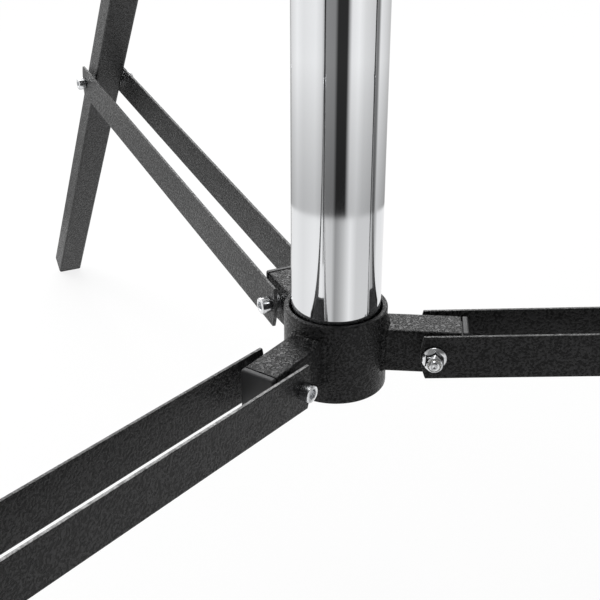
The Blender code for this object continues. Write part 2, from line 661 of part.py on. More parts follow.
def make_leg_collar(stand, arms, finishes):
    coat = finishes["powder coat"]
    radius = COLLAR_DIAMETER / 2
    half = COLLAR_HEIGHT / 2
    blank = [(radius - HUB_CHAMFER, -half), (radius, HUB_CHAMFER - half),
             (radius, half - HUB_CHAMFER), (radius - HUB_CHAMFER, half)]
    place = (0, 0, collar_pivot_z)
    collar = add_object("slide_collar", turned("slide_collar", blank, ROUND_STEPS), coat, stand,
                        place, turn_z=FIRST_ARM_AZIMUTH)

    ear_half = EAR_HEIGHT / 2
    start = COLLAR_BORE / 2 + 0.001
    profile = ([(start, -ear_half)] + arc(EAR_REACH - ear_half, 0, ear_half, -90, 90, 8)
               + [(start, ear_half)])
    bm = bmesh.new()
    add_plate(bm, profile, 2 * ear_outer)
    bmesh.ops.rotate(bm, verts=bm.verts, cent=(0, 0, 0), matrix=Matrix.Rotation(math.pi / 2, 3, 'X'))
    copy_round(bm, ARM_COUNT)
    ears = add_object("collar_ears_shape", mesh_from(bm, "ears"), coat, stand, place,
                      turn_z=FIRST_ARM_AZIMUTH)

    boss_turn = Matrix.Rotation(math.radians(WINCH_OFFSET), 3, 'Z')
    bm = bmesh.new()
    add_rod(bm, boss_turn @ Vector((start, 0, 0)),
            boss_turn @ Vector((radius + KNOB_BOSS_LENGTH, 0, 0)), KNOB_BOSS_DIAMETER / 2)
    boss = add_object("collar_boss_shape", mesh_from(bm, "boss"), coat, stand, place,
                      turn_z=FIRST_ARM_AZIMUTH)

    bm = bmesh.new()
    add_box(bm, (radius + EAR_THICKNESS, -ear_inner, -EAR_HEIGHT), (EAR_REACH + EAR_THICKNESS, ear_inner, EAR_HEIGHT))
    copy_round(bm, ARM_COUNT)
    add_rod(bm, (0, 0, -COLLAR_HEIGHT), (0, 0, COLLAR_HEIGHT), COLLAR_BORE / 2, ROUND_STEPS)
    hollow = add_object("collar_hollow_shape", mesh_from(bm, "hollow"), coat, stand, place,
                        turn_z=FIRST_ARM_AZIMUTH)

    bm = bmesh.new()
    add_rod(bm, (PIVOT_RADIUS, -2 * ear_outer, 0), (PIVOT_RADIUS, 2 * ear_outer, 0),
            BOLT_DIAMETER / 2 + SEAT_GAP, BOLT_STEPS)
    copy_round(bm, ARM_COUNT)
    add_rod(bm, (0, 0, 0), boss_turn @ Vector((2 * radius, 0, 0)), KNOB_SHANK_DIAMETER / 2 + SEAT_GAP)
    holes = add_object("collar_holes_shape", mesh_from(bm, "holes"), coat, stand, place,
                       turn_z=FIRST_ARM_AZIMUTH)
    boolean(collar, 'UNION', [ears, boss])
    boolean(collar, 'DIFFERENCE', [hollow, holes])

    for number, arm in enumerate(arms, 1):
        add_object(f"collar_bolt_{number}", collar_bolt_mesh(), finishes["zinc"], arm,
                   (PIVOT_RADIUS, 0, collar_pivot_z), turn_x=-90)

    side = empty("clamp_side", stand, place, turn_z=winch_azimuth)
    tip = MAST_DIAMETER / 2 + SEAT_GAP
    shank = radius + KNOB_BOSS_LENGTH + 0.004 - tip
    add_object("clamp_knob", knob_mesh(CLAMP_KNOB_DIAMETER, shank, 3, 0.25), finishes["black plastic"],
               side, (tip, 0, 0), turn_y=90)


def make_winch_frame(winch, finishes):
    coat = finishes["powder coat"]
    low = -side_below - PLATE_OVER_SIDE
    high = side_above + PLATE_OVER_SIDE
    ubolt_y = (MAST_DIAMETER + UBOLT_DIAMETER) / 2 + SEAT_GAP
    ubolt_z = [-side_below - PLATE_OVER_SIDE / 2, side_above + PLATE_OVER_SIDE / 2]
    hole = UBOLT_DIAMETER / 2 + SEAT_GAP
    # The plate's outline is drawn as (across, up) and stood up against the mast.
    holes = [circle(hole, BOLT_STEPS, y, z) for y in (-ubolt_y, ubolt_y) for z in ubolt_z]
    outline = box_outline(-PLATE_WIDTH / 2, PLATE_WIDTH / 2, low, high)
    bm = bmesh.new()
    add_plate(bm, outline, PLATE_THICKNESS, holes)
    stand_up = Matrix(((0, 0, 1), (1, 0, 0), (0, 1, 0)))
    bmesh.ops.rotate(bm, verts=bm.verts, cent=(0, 0, 0), matrix=stand_up)
    frame = add_object("winch_frame", mesh_from(bm, "winch_frame"), coat, winch,
                       (plate_face + PLATE_THICKNESS / 2, 0, 0))

    corner = 0.020
    start = plate_face + PLATE_THICKNESS / 2
    far = start + SIDE_DEPTH
    shaft = SHAFT_DIAMETER / 2 + SEAT_GAP
    side = ([(start, -side_below)] + arc(far - corner, -side_below + corner, corner, -90, 0, 5)
            + arc(far - corner, side_above - corner, corner, 0, 90, 5) + [(start, side_above)])
    shaft_holes = [circle(shaft, HOLE_STEPS, drum_x, 0), circle(shaft, HOLE_STEPS, drum_x, -gear_distance)]
    sides = []
    for name, sign in (("near", 1), ("far", -1)):
        mesh = plate_mesh("winch_side", side, SIDE_THICKNESS, shaft_holes)
        y = sign * (SIDE_SPACING + SIDE_THICKNESS) / 2
        sides.append(add_object(f"winch_side_shape_{name}", mesh, coat, winch, (0, y, 0), turn_x=90))
    bm = bmesh.new()
    inside = SIDE_SPACING / 2
    add_rod(bm, (pawl_x, inside + SIDE_THICKNESS / 2, pawl_z),
            (pawl_x, ratchet_y + RATCHET_THICKNESS, pawl_z), PAWL_PIN_DIAMETER / 2)
    pin = add_object("pawl_pin_shape", mesh_from(bm, "pawl_pin"), coat, winch)
    boolean(frame, 'UNION', sides + [pin])

    for name, z in (("lower", ubolt_z[0]), ("upper", ubolt_z[1])):
        bend = ubolt_y
        straight = plate_face + PLATE_THICKNESS + SEAT_GAP
        nut_end = straight + UBOLT_NUT_HEIGHT
        rod_end = nut_end + UBOLT_DIAMETER / 2
        turn = [(-bend * math.sin(a), bend * math.cos(a), 0)
                for a in (math.pi * i / 12 for i in range(13))]
        rod, nut = UBOLT_DIAMETER / 2, UBOLT_NUT_DIAMETER / 2
        leg = [(rod_end, rod), (nut_end, rod), (nut_end, nut), (straight, nut), (straight, rod)]
        points = ([(x, bend, 0) for x, _ in leg] + turn + [(x, -bend, 0) for x, _ in reversed(leg)])
        radii = [r for _, r in leg] + [rod] * len(turn) + [r for _, r in reversed(leg)]
        add_object(f"winch_ubolt_{name}", ubolt_mesh(points, radii), finishes["zinc"], winch, (0, 0, z))


def ubolt_mesh(points, radii):
    # The legs run along x and the bend goes round the mast, all at one height.
    steps = 8
    rings = []
    for point, radius in zip(points, radii):
        if point[0] > 0:
            side = Vector((0, 1 if point[1] > 0 else -1, 0))
        else:
            side = Vector((point[0], point[1], 0)).normalized()
        rings.append([Vector(point) + side * (radius * math.cos(a)) + Vector((0, 0, radius * math.sin(a)))
                      for a in (2 * math.pi * k / steps for k in range(steps))])
    return loft_mesh("winch_ubolt", rings)


def make_drum(winch, finishes):
    shaft = SHAFT_DIAMETER / 2
    bore = shaft + SEAT_GAP
    core = DRUM_CORE_DIAMETER / 2
    flange = DRUM_FLANGE_DIAMETER / 2
    t = DRUM_FLANGE_THICKNESS
    length = DRUM_INSIDE + 2 * t
    profile = [(bore, 0), (flange, 0), (flange, t), (core, t), (core, length - t),
               (flange, length - t), (flange, length), (bore, length)]
    add_object("drum", turned("drum", profile, SMALL_STEPS, closed=True), finishes["zinc"], winch,
               (drum_x, DRUM_LEFT, 0), turn_x=-90)

    gear_y = DRUM_LEFT + length + SEAT_GAP + GEAR_THICKNESS / 2
    phase = -90 + 180 / GEAR_TEETH
    mesh = plate_mesh("drum_gear", gear_outline(GEAR_TEETH, GEAR_MODULE, phase), GEAR_THICKNESS,
                      [circle(bore, HOLE_STEPS)])
    add_object("drum_gear", mesh, finishes["steel"], winch, (drum_x, gear_y, 0), turn_x=90)

    # A bolt across both side plates carries the drum.
    outside = SIDE_SPACING / 2 + SIDE_THICKNESS + SEAT_GAP
    head = SHAFT_DIAMETER * 0.55
    rings = [hex_ring(-outside - head, SHAFT_DIAMETER * 1.5, 12),
             hex_ring(-outside, SHAFT_DIAMETER * 1.5, 12),
             round_ring(-outside, shaft, 12), round_ring(outside, shaft, 12),
             hex_ring(outside, SHAFT_DIAMETER * 1.5, 12),
             hex_ring(outside + head, SHAFT_DIAMETER * 1.5, 12)]
    add_object("drum_shaft", loft_mesh("drum_shaft", rings), finishes["zinc"], winch,
               (drum_x, 0, 0), turn_x=-90)
    return gear_y


def rope_lead():
    # The rope leaves the drum's mast side and crosses to the outer side of the head pulley.
    across = head_pulley_x - drum_x
    up = head_pulley_z - winch_z
    span = math.hypot(across, up)
    heading = math.atan2(up, across)
    tilt = math.asin((winding_radius + HEAD_PULLEY_RADIUS) / span)
    return heading + math.pi / 2 - tilt


def make_ropes(stand_side, winch, finishes):
    leave = rope_lead()
    turns = []
    for i in range(ROPE_TURNS * LOOP_STEPS + 1):
        angle = leave + 2 * math.pi * (ROPE_TURNS - i / LOOP_STEPS)
        y = ROPE_PITCH * (i / LOOP_STEPS - ROPE_TURNS)
        turns.append(Vector((drum_x + winding_radius * math.cos(angle), y,
                             winding_radius * math.sin(angle))))
    near = min((a - b).length for i, a in enumerate(turns) for b in turns[i + LOOP_STEPS // 2:])
    print(f"drum_winding: least gap between turns {(near - WINCH_ROPE_DIAMETER) * 1000:.2f} mm")
    rope_object("drum_winding", turns, WINCH_ROPE_DIAMETER, finishes["steel rope"], winch, 1)

    off = (drum_x + winding_radius * math.cos(leave), winch_z + winding_radius * math.sin(leave))
    on = (head_pulley_x - HEAD_PULLEY_RADIUS * math.cos(leave),
          head_pulley_z - HEAD_PULLEY_RADIUS * math.sin(leave))
    direction = Vector((on[0] - off[0], on[1] - off[1])).normalized()
    # The run starts where the tangent clears the winding, whichever way the drum stands.
    half = WINCH_ROPE_DIAMETER / 2
    clear = math.sqrt((winding_radius + half + SEAT_GAP) ** 2 - (winding_radius - half) ** 2)
    start = (off[0] + direction.x * clear, off[1] + direction.y * clear)
    over = arc(head_pulley_x, head_pulley_z, HEAD_PULLEY_RADIUS, math.degrees(leave) - 180, 180, 14)
    anchor = first_foot + BUSH_HEIGHT / 2
    route = [start] + over + [(winch_rope_x, anchor)]
    rope_object("winch_rope", [(x, 0, z) for x, z in route], WINCH_ROPE_DIAMETER,
                finishes["steel rope"], stand_side, 2)

    x, z = -section_pulley_x, section_pulley_z
    over = arc(x, z, SECTION_PULLEY_RADIUS, 180, 0, 12)
    anchor = second_foot + BUSH_HEIGHT / 2
    route = over + [(-lift_rope_x, anchor)]
    rope_object("lift_rope_inner", [(px, 0, pz) for px, pz in route], LIFT_ROPE_DIAMETER,
                finishes["steel rope"], stand_side, 2)
    outer_x = x - SECTION_PULLEY_RADIUS
    ends = [(outer_x, 0, head_top + SEAT_GAP), (outer_x, 0, z - SEAT_GAP)]
    rope_object("lift_rope_outer", ends, LIFT_ROPE_DIAMETER, finishes["steel rope"], stand_side, 2)


def make_crank(winch, finishes, gear_y):
    shaft = SHAFT_DIAMETER / 2
    seat = CRANK_SEAT_DIAMETER / 2
    side_out = SIDE_SPACING / 2 + SIDE_THICKNESS
    arm_near = side_out + CRANK_STANDOFF
    arm_far = arm_near + CRANK_THICKNESS
    nut_end = arm_far + 0.007
    profile = [(shaft, -side_out - 0.003), (shaft, arm_near - SEAT_GAP), (seat, arm_near - SEAT_GAP),
               (seat, arm_far + SEAT_GAP), (seat * 1.8, arm_far + SEAT_GAP), (seat * 1.8, nut_end)]
    pinion_shaft = add_object("pinion_shaft", turned("pinion_shaft", profile, 16),
                              finishes["steel"], winch, (drum_x, 0, -gear_distance), turn_x=-90)
    wide = GEAR_THICKNESS + 0.003
    teeth = add_object("pinion_shape", plate_mesh("pinion", gear_outline(PINION_TEETH, GEAR_MODULE, 90), wide),
                       finishes["steel"], winch, (drum_x, gear_y, -gear_distance), turn_x=90)
    ratchet = add_object("ratchet_shape", plate_mesh("ratchet", ratchet_outline(), RATCHET_THICKNESS),
                         finishes["steel"], winch, (drum_x, ratchet_y, -gear_distance), turn_x=90)
    boolean(pinion_shaft, 'UNION', [teeth, ratchet])

    # The pawl's nose rides just clear of the ratchet's teeth.
    outline = slot_outline(PAWL_LENGTH, PAWL_EYE_DIAMETER / 2, PAWL_NOSE_DIAMETER / 2, 6)
    eye = [circle(PAWL_PIN_DIAMETER / 2 + SEAT_GAP, BOLT_STEPS)]
    add_object("pawl", plate_mesh("pawl", outline, RATCHET_THICKNESS, eye), finishes["steel"],
               winch, (pawl_x, ratchet_y, pawl_z), turn_x=90, turn_y=180 - PAWL_HEADING)

    outline = slot_outline(CRANK_LENGTH, CRANK_WIDTH / 2, CRANK_WIDTH / 2)
    arm_mid = (arm_near + arm_far) / 2
    arm = add_object("crank_arm", plate_mesh("crank_arm", outline, CRANK_THICKNESS, [circle(seat + SEAT_GAP, HOLE_STEPS)]),
                     finishes["zinc"], winch, (drum_x, arm_mid, -gear_distance), turn_x=90, turn_y=90)
    pin = GRIP_PIN_DIAMETER / 2
    grip_near = arm_far + SEAT_GAP
    grip_far = grip_near + GRIP_LENGTH
    pin_profile = [(pin, arm_mid), (pin, grip_far + SEAT_GAP), (pin * 1.6, grip_far + SEAT_GAP),
                   (pin * 1.6, grip_far + 0.003)]
    grip_place = (drum_x, 0, -gear_distance - CRANK_LENGTH)
    grip_pin = add_object("grip_pin_shape", turned("grip_pin", pin_profile, 16), finishes["zinc"],
                          winch, grip_place, turn_x=-90)
    boolean(arm, 'UNION', [grip_pin])
    r = GRIP_DIAMETER / 2
    bore = pin + SEAT_GAP
    swell = [(bore, grip_near), (r * 0.72, grip_near), (r * 0.8, grip_near + GRIP_LENGTH * 0.06),
             (r, grip_near + GRIP_LENGTH * 0.35), (r * 0.9, grip_near + GRIP_LENGTH * 0.7),
             (r, grip_far - GRIP_LENGTH * 0.08), (r * 0.8, grip_far), (bore, grip_far)]
    add_object("crank_grip", turned("crank_grip", swell, SMALL_STEPS, closed=True), finishes["black plastic"],
               winch, grip_place, turn_x=-90)


def head_body(name, side, outer, foot, top, bores, cheek, ear, boss, finishes):
    # A sleeve on one tube and a guide round the next, with two cheeks for a pulley.
    coat = finishes["powder coat"]
    body = add_object(name, turned(name, [(outer, foot), (outer, top)], HEAD_STEPS), coat, side)
    reach, pulley_x, pulley_z, pulley_radius, slot = cheek
    sign = 1 if pulley_x > 0 else -1
    half = slot / 2 + CHEEK_THICKNESS
    low = pulley_z - pulley_radius - 0.008
    high = min(pulley_z + pulley_radius, top - 0.001)
    corner = 0.008
    far = abs(pulley_x) + reach
    outline = ([(0.001, low - far * 0.35)] + [(far - corner, low)] + arc(far - corner, low + corner, corner, -60, 0, 3)
               + arc(far - corner, high - corner, corner, 0, 90, 4) + [(0.001, high)])
    outline = [(sign * x, z) for x, z in outline]
    cheeks = add_object(f"{name}_cheeks_shape", plate_mesh("cheeks", outline, 2 * half), coat, side, turn_x=90)
    added = [cheeks]
    if ear:
        bm = bmesh.new()
        add_box(bm, (-ear[0], -0.006, top - ear[1]), (-outer + 0.003, 0.006, top))
        added.append(add_object(f"{name}_ear_shape", mesh_from(bm, "ear"), coat, side))
    if boss:
        bm = bmesh.new()
        add_rod(bm, (0, outer - 0.004, boss), (0, outer + KNOB_BOSS_LENGTH, boss), KNOB_BOSS_DIAMETER / 2)
        added.append(add_object(f"{name}_boss_shape", mesh_from(bm, "boss"), coat, side))
    lower, step, upper = bores
    bore = [(lower, foot - 0.001), (lower, step), (upper, step), (upper, top + 0.001)]
    cut = [add_object(f"{name}_bore_shape", turned("bore", bore, HEAD_STEPS), coat, side)]
    # Clear of the sleeve the slot runs right down, for the rope to come up through.
    slot_outline_xz = [(upper * 0.6, step - 0.002), (outer + 0.001, step - 0.002),
                       (outer + 0.001, foot), (far + 0.002, foot),
                       (far + 0.002, top + 0.002), (upper * 0.6, top + 0.002)]
    mesh = plate_mesh("slot", [(sign * x, z) for x, z in slot_outline_xz], slot)
    cut.append(add_object(f"{name}_slot_shape", mesh, coat, side, turn_x=90))
    if boss:
        bm = bmesh.new()
        add_rod(bm, (0, upper - 0.002, boss), (0, outer + 2 * KNOB_BOSS_LENGTH, boss),
                KNOB_SHANK_DIAMETER / 2 + SEAT_GAP)
        cut.append(add_object(f"{name}_screw_shape", mesh_from(bm, "screw"), coat, side))
    bm = bmesh.new()
    pin = PULLEY_PIN_DIAMETER / 2
    add_rod(bm, (pulley_x, -half - 0.001, pulley_z), (pulley_x, half + 0.001, pulley_z), pin)
    pin_shape = add_object(f"{name}_pin_shape", mesh_from(bm, "pin"), coat, side)
    boolean(body, 'UNION', added)
    boolean(body, 'DIFFERENCE', cut)
    boolean(body, 'UNION', [pin_shape])


def make_heads(side, finishes):
    slot = PULLEY_THICKNESS + 0.0014
    mast = MAST_DIAMETER / 2
    first = FIRST_DIAMETER / 2
    second = SECOND_DIAMETER / 2
    boss_z = mast_top + HEAD_GUIDE / 2
    ear_reach = section_pulley_x + SECTION_PULLEY_RADIUS + 0.006
    head_body("mast_head", side, mast + HEAD_WALL, mast_top - HEAD_SLEEVE, head_top,
              (mast + SEAT_GAP, mast_top + SEAT_GAP, first + SEAT_GAP),
              (HEAD_PULLEY_RADIUS + 0.006, head_pulley_x, head_pulley_z, HEAD_PULLEY_RADIUS, slot),
              (ear_reach, 0.014), boss_z, finishes)
    head_body("section_head", side, first + HEAD_WALL, section_head_foot, section_head_top,
              (first + SEAT_GAP, first_top + SEAT_GAP, second + SEAT_GAP),
              (SECTION_PULLEY_RADIUS + 0.005, -section_pulley_x, section_pulley_z,
               SECTION_PULLEY_RADIUS, slot),
              None, None, finishes)
    add_object("head_pulley", pulley_mesh(HEAD_PULLEY_RADIUS, WINCH_ROPE_DIAMETER), finishes["zinc"],
               side, (head_pulley_x, 0, head_pulley_z), turn_x=-90)
    add_object("section_pulley", pulley_mesh(SECTION_PULLEY_RADIUS, LIFT_ROPE_DIAMETER), finishes["zinc"],
               side, (-section_pulley_x, 0, section_pulley_z), turn_x=-90)
    tip = first + SEAT_GAP
    shank = mast + HEAD_WALL + KNOB_BOSS_LENGTH + 0.004 - tip
    add_object("head_knob", knob_mesh(HEAD_KNOB_DIAMETER, shank, 3, 0.25), finishes["black plastic"],
               side, (0, tip, boss_z), turn_x=-90)


def bush_mesh(tube, bore, slot, sign):
    # A slider on the tube's foot, grooved lengthwise where the rope runs past it.
    inner = tube / 2 + SEAT_GAP
    outer = bore / 2 - SEAT_GAP
    lip = tube / 2 - TUBE_WALL * 2
    edge = math.asin(slot / 2 / outer)
    steps = SMALL_STEPS
    angles = [edge + (2 * math.pi - 2 * edge) * i / steps for i in range(steps + 1)]
    if sign < 0:
        angles = [a + math.pi for a in angles]

    def level(z, radius_in, radius_out):
        near = [Vector((radius_in * math.cos(a), radius_in * math.sin(a), z)) for a in angles]
        far = [Vector((radius_out * math.cos(a), radius_out * math.sin(a), z)) for a in reversed(angles)]
        return near + far

    rings = [level(-BUSH_LIP, lip, outer), level(-SEAT_GAP, lip, outer),
             level(-SEAT_GAP, inner, outer), level(BUSH_HEIGHT, inner, outer)]
    return loft_mesh("bush", rings)


def make_sections(side, finishes):
    first = FIRST_DIAMETER / 2
    second = SECOND_DIAMETER / 2
    add_object("section_1_tube", sleeve_mesh("section_1", first_bore / 2, first, first_foot, first_top,
                                             HEAD_STEPS), finishes["chrome"], side)
    add_object("section_2_tube", sleeve_mesh("section_2", second - TUBE_WALL, second, second_foot,
                                             second_top - SEAT_GAP, HEAD_STEPS), finishes["chrome"], side)
    groove = WINCH_ROPE_DIAMETER + 0.0012
    add_object("section_1_bush", bush_mesh(FIRST_DIAMETER, mast_bore, groove, 1),
               finishes["nylon"], side, (0, 0, first_foot))
    groove = LIFT_ROPE_DIAMETER + 0.0012
    add_object("section_2_bush", bush_mesh(SECOND_DIAMETER, first_bore, groove, -1),
               finishes["nylon"], side, (0, 0, second_foot))

    socket = SPIGOT_SOCKET_DIAMETER / 2
    outer = socket + SPIGOT_WALL
    skirt = second + SEAT_GAP
    blank = [(outer, spigot_foot), (outer, spigot_top)]
    head = add_object("spigot_head", turned("spigot_head", blank, HEAD_STEPS),
                      finishes["powder coat"], side)
    knob_z = second_top + SPIGOT_FLOOR + SPIGOT_SOCKET_DEPTH * 0.45
    bm = bmesh.new()
    add_rod(bm, (0, outer - 0.004, knob_z), (0, outer + KNOB_BOSS_LENGTH, knob_z), KNOB_BOSS_DIAMETER / 2)
    boss = add_object("spigot_boss_shape", mesh_from(bm, "boss"), finishes["powder coat"], side)
    bm = bmesh.new()
    add_rod(bm, (0, 0, spigot_foot - 0.001), (0, 0, second_top), skirt, HEAD_STEPS)
    add_rod(bm, (0, 0, second_top + SPIGOT_FLOOR), (0, 0, spigot_top + 0.001), socket, HEAD_STEPS)
    bores = add_object("spigot_bores_shape", mesh_from(bm, "bores"), finishes["powder coat"], side)
    bm = bmesh.new()
    add_rod(bm, (0, socket * 0.5, knob_z), (0, outer + 2 * KNOB_BOSS_LENGTH, knob_z),
            KNOB_SHANK_DIAMETER / 2 + SEAT_GAP)
    screw = add_object("spigot_screw_shape", mesh_from(bm, "screw"), finishes["powder coat"], side)
    boolean(head, 'UNION', [boss])
    boolean(head, 'DIFFERENCE', [bores, screw])
    tip = socket + SEAT_GAP
    shank = outer + KNOB_BOSS_LENGTH + 0.004 - tip
    add_object("spigot_knob", knob_mesh(HEAD_KNOB_DIAMETER, shank, 2, 0.55), finishes["black plastic"],
               side, (0, tip, knob_z), turn_x=-90)


def feet_middle():
    # Middle of the box round the three feet, seen from above, measured from the mast.
    corners = []
    for number in range(ARM_COUNT):
        turn = Matrix.Rotation(math.radians(FIRST_ARM_AZIMUTH + number * 360 / ARM_COUNT), 2)
        corners += [turn @ Vector((foot_radius, y)) for y in (-LEG_WIDTH / 2, LEG_WIDTH / 2)]
    xs = [c.x for c in corners]
    ys = [c.y for c in corners]
    return (min(xs) + max(xs)) / 2, (min(ys) + max(ys)) / 2


def main():
    for old in list(bpy.data.objects):
        bpy.data.objects.remove(old, do_unlink=True)
    finishes = {
        "powder coat": material("powder coat", (0.030, 0.030, 0.032), 0.0, 0.55),
        "chrome": material("chrome", (0.85, 0.86, 0.87), 1.0, 0.05),
        "zinc": material("zinc", (0.62, 0.64, 0.66), 1.0, 0.30),
        "steel": material("steel", (0.45, 0.45, 0.46), 1.0, 0.40),
        "steel rope": material("steel rope", (0.50, 0.50, 0.50), 1.0, 0.45),
        "black plastic": material("black plastic", (0.020, 0.020, 0.021), 0.0, 0.42),
        "nylon": material("nylon", (0.80, 0.79, 0.74), 0.0, 0.50),
    }
    middle_x, middle_y = feet_middle()
    stand = empty("stand", None, (-middle_x, -middle_y, 0))
    arms = [empty(f"arm_{n + 1}", stand, turn_z=FIRST_ARM_AZIMUTH + n * 360 / ARM_COUNT)
            for n in range(ARM_COUNT)]
    side = empty("winch_side", stand, turn_z=winch_azimuth)
    winch = empty("winch", stand, (0, 0, winch_z), turn_z=winch_azimuth)

    make_mast(stand, finishes)
    make_hub(stand, arms, finishes)
    make_braces(arms, finishes)
    make_legs(arms, finishes)
    make_leg_collar(stand, arms, finishes)
    make_winch_frame(winch, finishes)
    gear_y = make_drum(winch, finishes)
    make_crank(winch, finishes, gear_y)
    make_ropes(side, winch, finishes)
    make_heads(side, finishes)
    make_sections(side, finishes)


main()
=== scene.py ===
# Looks for the wind-up light stand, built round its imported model. Metres, +Z up.
import math

import bmesh
import bpy
from mathutils import Matrix, Vector


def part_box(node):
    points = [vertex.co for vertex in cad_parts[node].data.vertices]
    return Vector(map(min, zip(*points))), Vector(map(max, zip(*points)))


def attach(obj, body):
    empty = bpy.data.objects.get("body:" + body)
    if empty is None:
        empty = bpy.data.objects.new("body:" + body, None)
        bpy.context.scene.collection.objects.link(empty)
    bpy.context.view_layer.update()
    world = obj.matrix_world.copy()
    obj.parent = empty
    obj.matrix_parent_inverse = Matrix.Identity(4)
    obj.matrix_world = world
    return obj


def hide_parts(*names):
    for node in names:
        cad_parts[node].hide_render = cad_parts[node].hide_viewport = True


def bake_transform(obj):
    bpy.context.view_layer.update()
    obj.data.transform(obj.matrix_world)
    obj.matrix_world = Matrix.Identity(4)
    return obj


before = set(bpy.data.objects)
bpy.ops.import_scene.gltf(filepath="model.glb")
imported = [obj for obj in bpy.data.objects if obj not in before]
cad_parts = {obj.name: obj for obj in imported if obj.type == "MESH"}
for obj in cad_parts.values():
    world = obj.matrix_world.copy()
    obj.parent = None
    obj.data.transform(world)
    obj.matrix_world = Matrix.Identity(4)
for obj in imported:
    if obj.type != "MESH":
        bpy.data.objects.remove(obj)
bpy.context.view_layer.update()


def middle(node):
    low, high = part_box(node)
    return (low + high) / 2


def heights(node):
    low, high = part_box(node)
    return low.z, high.z


# Where things stand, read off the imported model
mastAxis = Vector((*middle("mast_tube").xy, 0))
hubPivot, collarPivot, winchHeight = (
    middle(node).z for node in ("hub_bolt_1", "collar_bolt_1", "drum_shaft"))
hubLow, hubHigh = heights("hub")
mastTop, firstTop, secondTop = (
    heights(node)[1] for node in ("mast_tube", "section_1_tube", "section_2_tube"))

layout = {
    "armAzimuths": (-5.0, 115.0, 235.0), "winchAzimuth": -65.0,
    "pivotRadius": 0.0555,                      # mast axis to every brace and leg pivot
    "braceLength": 0.394, "braceRise": 3.9, "legLean": 38.25,
    "barInner": 0.0144, "barOuter": 0.0164,     # an arm's middle to the faces of its bars
    "gap": 0.0003,                              # left between pieces that turn or slide on each other
}
arms = layout["armAzimuths"]
pivotRadius, gap = layout["pivotRadius"], layout["gap"]


def at(x, y, z):
    return Matrix.Translation((x, y, z))


def turn(angle, axis):
    return Matrix.Rotation(math.radians(angle), 4, axis)


onMast = Matrix.Translation(mastAxis)
sidePlace = onMast @ turn(layout["winchAzimuth"], 'Z')
winchPlace = sidePlace @ at(0, 0, winchHeight)
outward = turn(90, 'Y')         # lays a piece drawn along z along the arm
acrossArm = turn(-90, 'X')      # lays it across the arm
upright = turn(90, 'X')         # stands an outline up along the arm


def fillRamp(ramp, stops):
    # stops are (position, grey level) pairs.
    ramp.elements.remove(ramp.elements[-1])
    for place, (position, level) in enumerate(stops):
        stop = ramp.elements.new(position) if place else ramp.elements[0]
        stop.position, stop.color = position, (level, level, level, 1)


class Value:
    # One socket in a node tree. Sums on it add Math nodes.
    def __init__(self, tree, socket=None):
        self.tree, self.socket = tree, socket

    def feed(self, node, values):
        for name, value in values.items():
            if isinstance(value, Value):
                self.tree.links.new(value.socket, node.inputs[name])
            else:
                node.inputs[name].default_value = value

    def node(self, kind, settings=None, values=None, out=0):
        made = self.tree.nodes.new(kind)
        for name, setting in (settings or {}).items():
            if name == "stops":
                fillRamp(made.color_ramp, setting)
            else:
                setattr(made, name, setting)
        self.feed(made, values or {})
        return Value(self.tree, made.outputs[out])

    def sibling(self, out):
        return Value(self.tree, self.socket.node.outputs[out])

    def math(self, operation, *others):
        return self.node("ShaderNodeMath", {"operation": operation}, dict(enumerate(others)))

    def vector(self, operation, values, out=0):
        return self.node("ShaderNodeVectorMath", {"operation": operation}, {0: self, **values}, out)

    def __add__(self, other):
        return self.math('ADD', self, other)

    def __sub__(self, other):
        return self.math('SUBTRACT', self, other)

    def __rsub__(self, other):
        return self.math('SUBTRACT', other, self)

    def __mul__(self, other):
        return self.math('MULTIPLY', self, other)

    def __truediv__(self, other):
        return self.math('DIVIDE', self, other)

    __radd__ = __add__
    __rmul__ = __mul__

    def remap(self, low, high, toLow, toHigh, style='LINEAR'):
        return self.node("ShaderNodeMapRange", {"interpolation_type": style},
                         {0: self, 1: low, 2: high, 3: toLow, 4: toHigh})

    def blend(self, low, high):
        return self.node("ShaderNodeMix", {"data_type": 'RGBA'}, {0: self, 6: low, 7: high}, 2)

    def tint(self, low, high):
        return self.blend((*low, 1), (*high, 1))

    def noise(self, size, detail):
        return self.node("ShaderNodeTexNoise", None, {"Vector": self, "Scale": 1 / size, "Detail": detail})

    def bump(self, strength, distance):
        return self.node("ShaderNodeBump", None, {"Height": self, "Strength": strength, "Distance": distance})


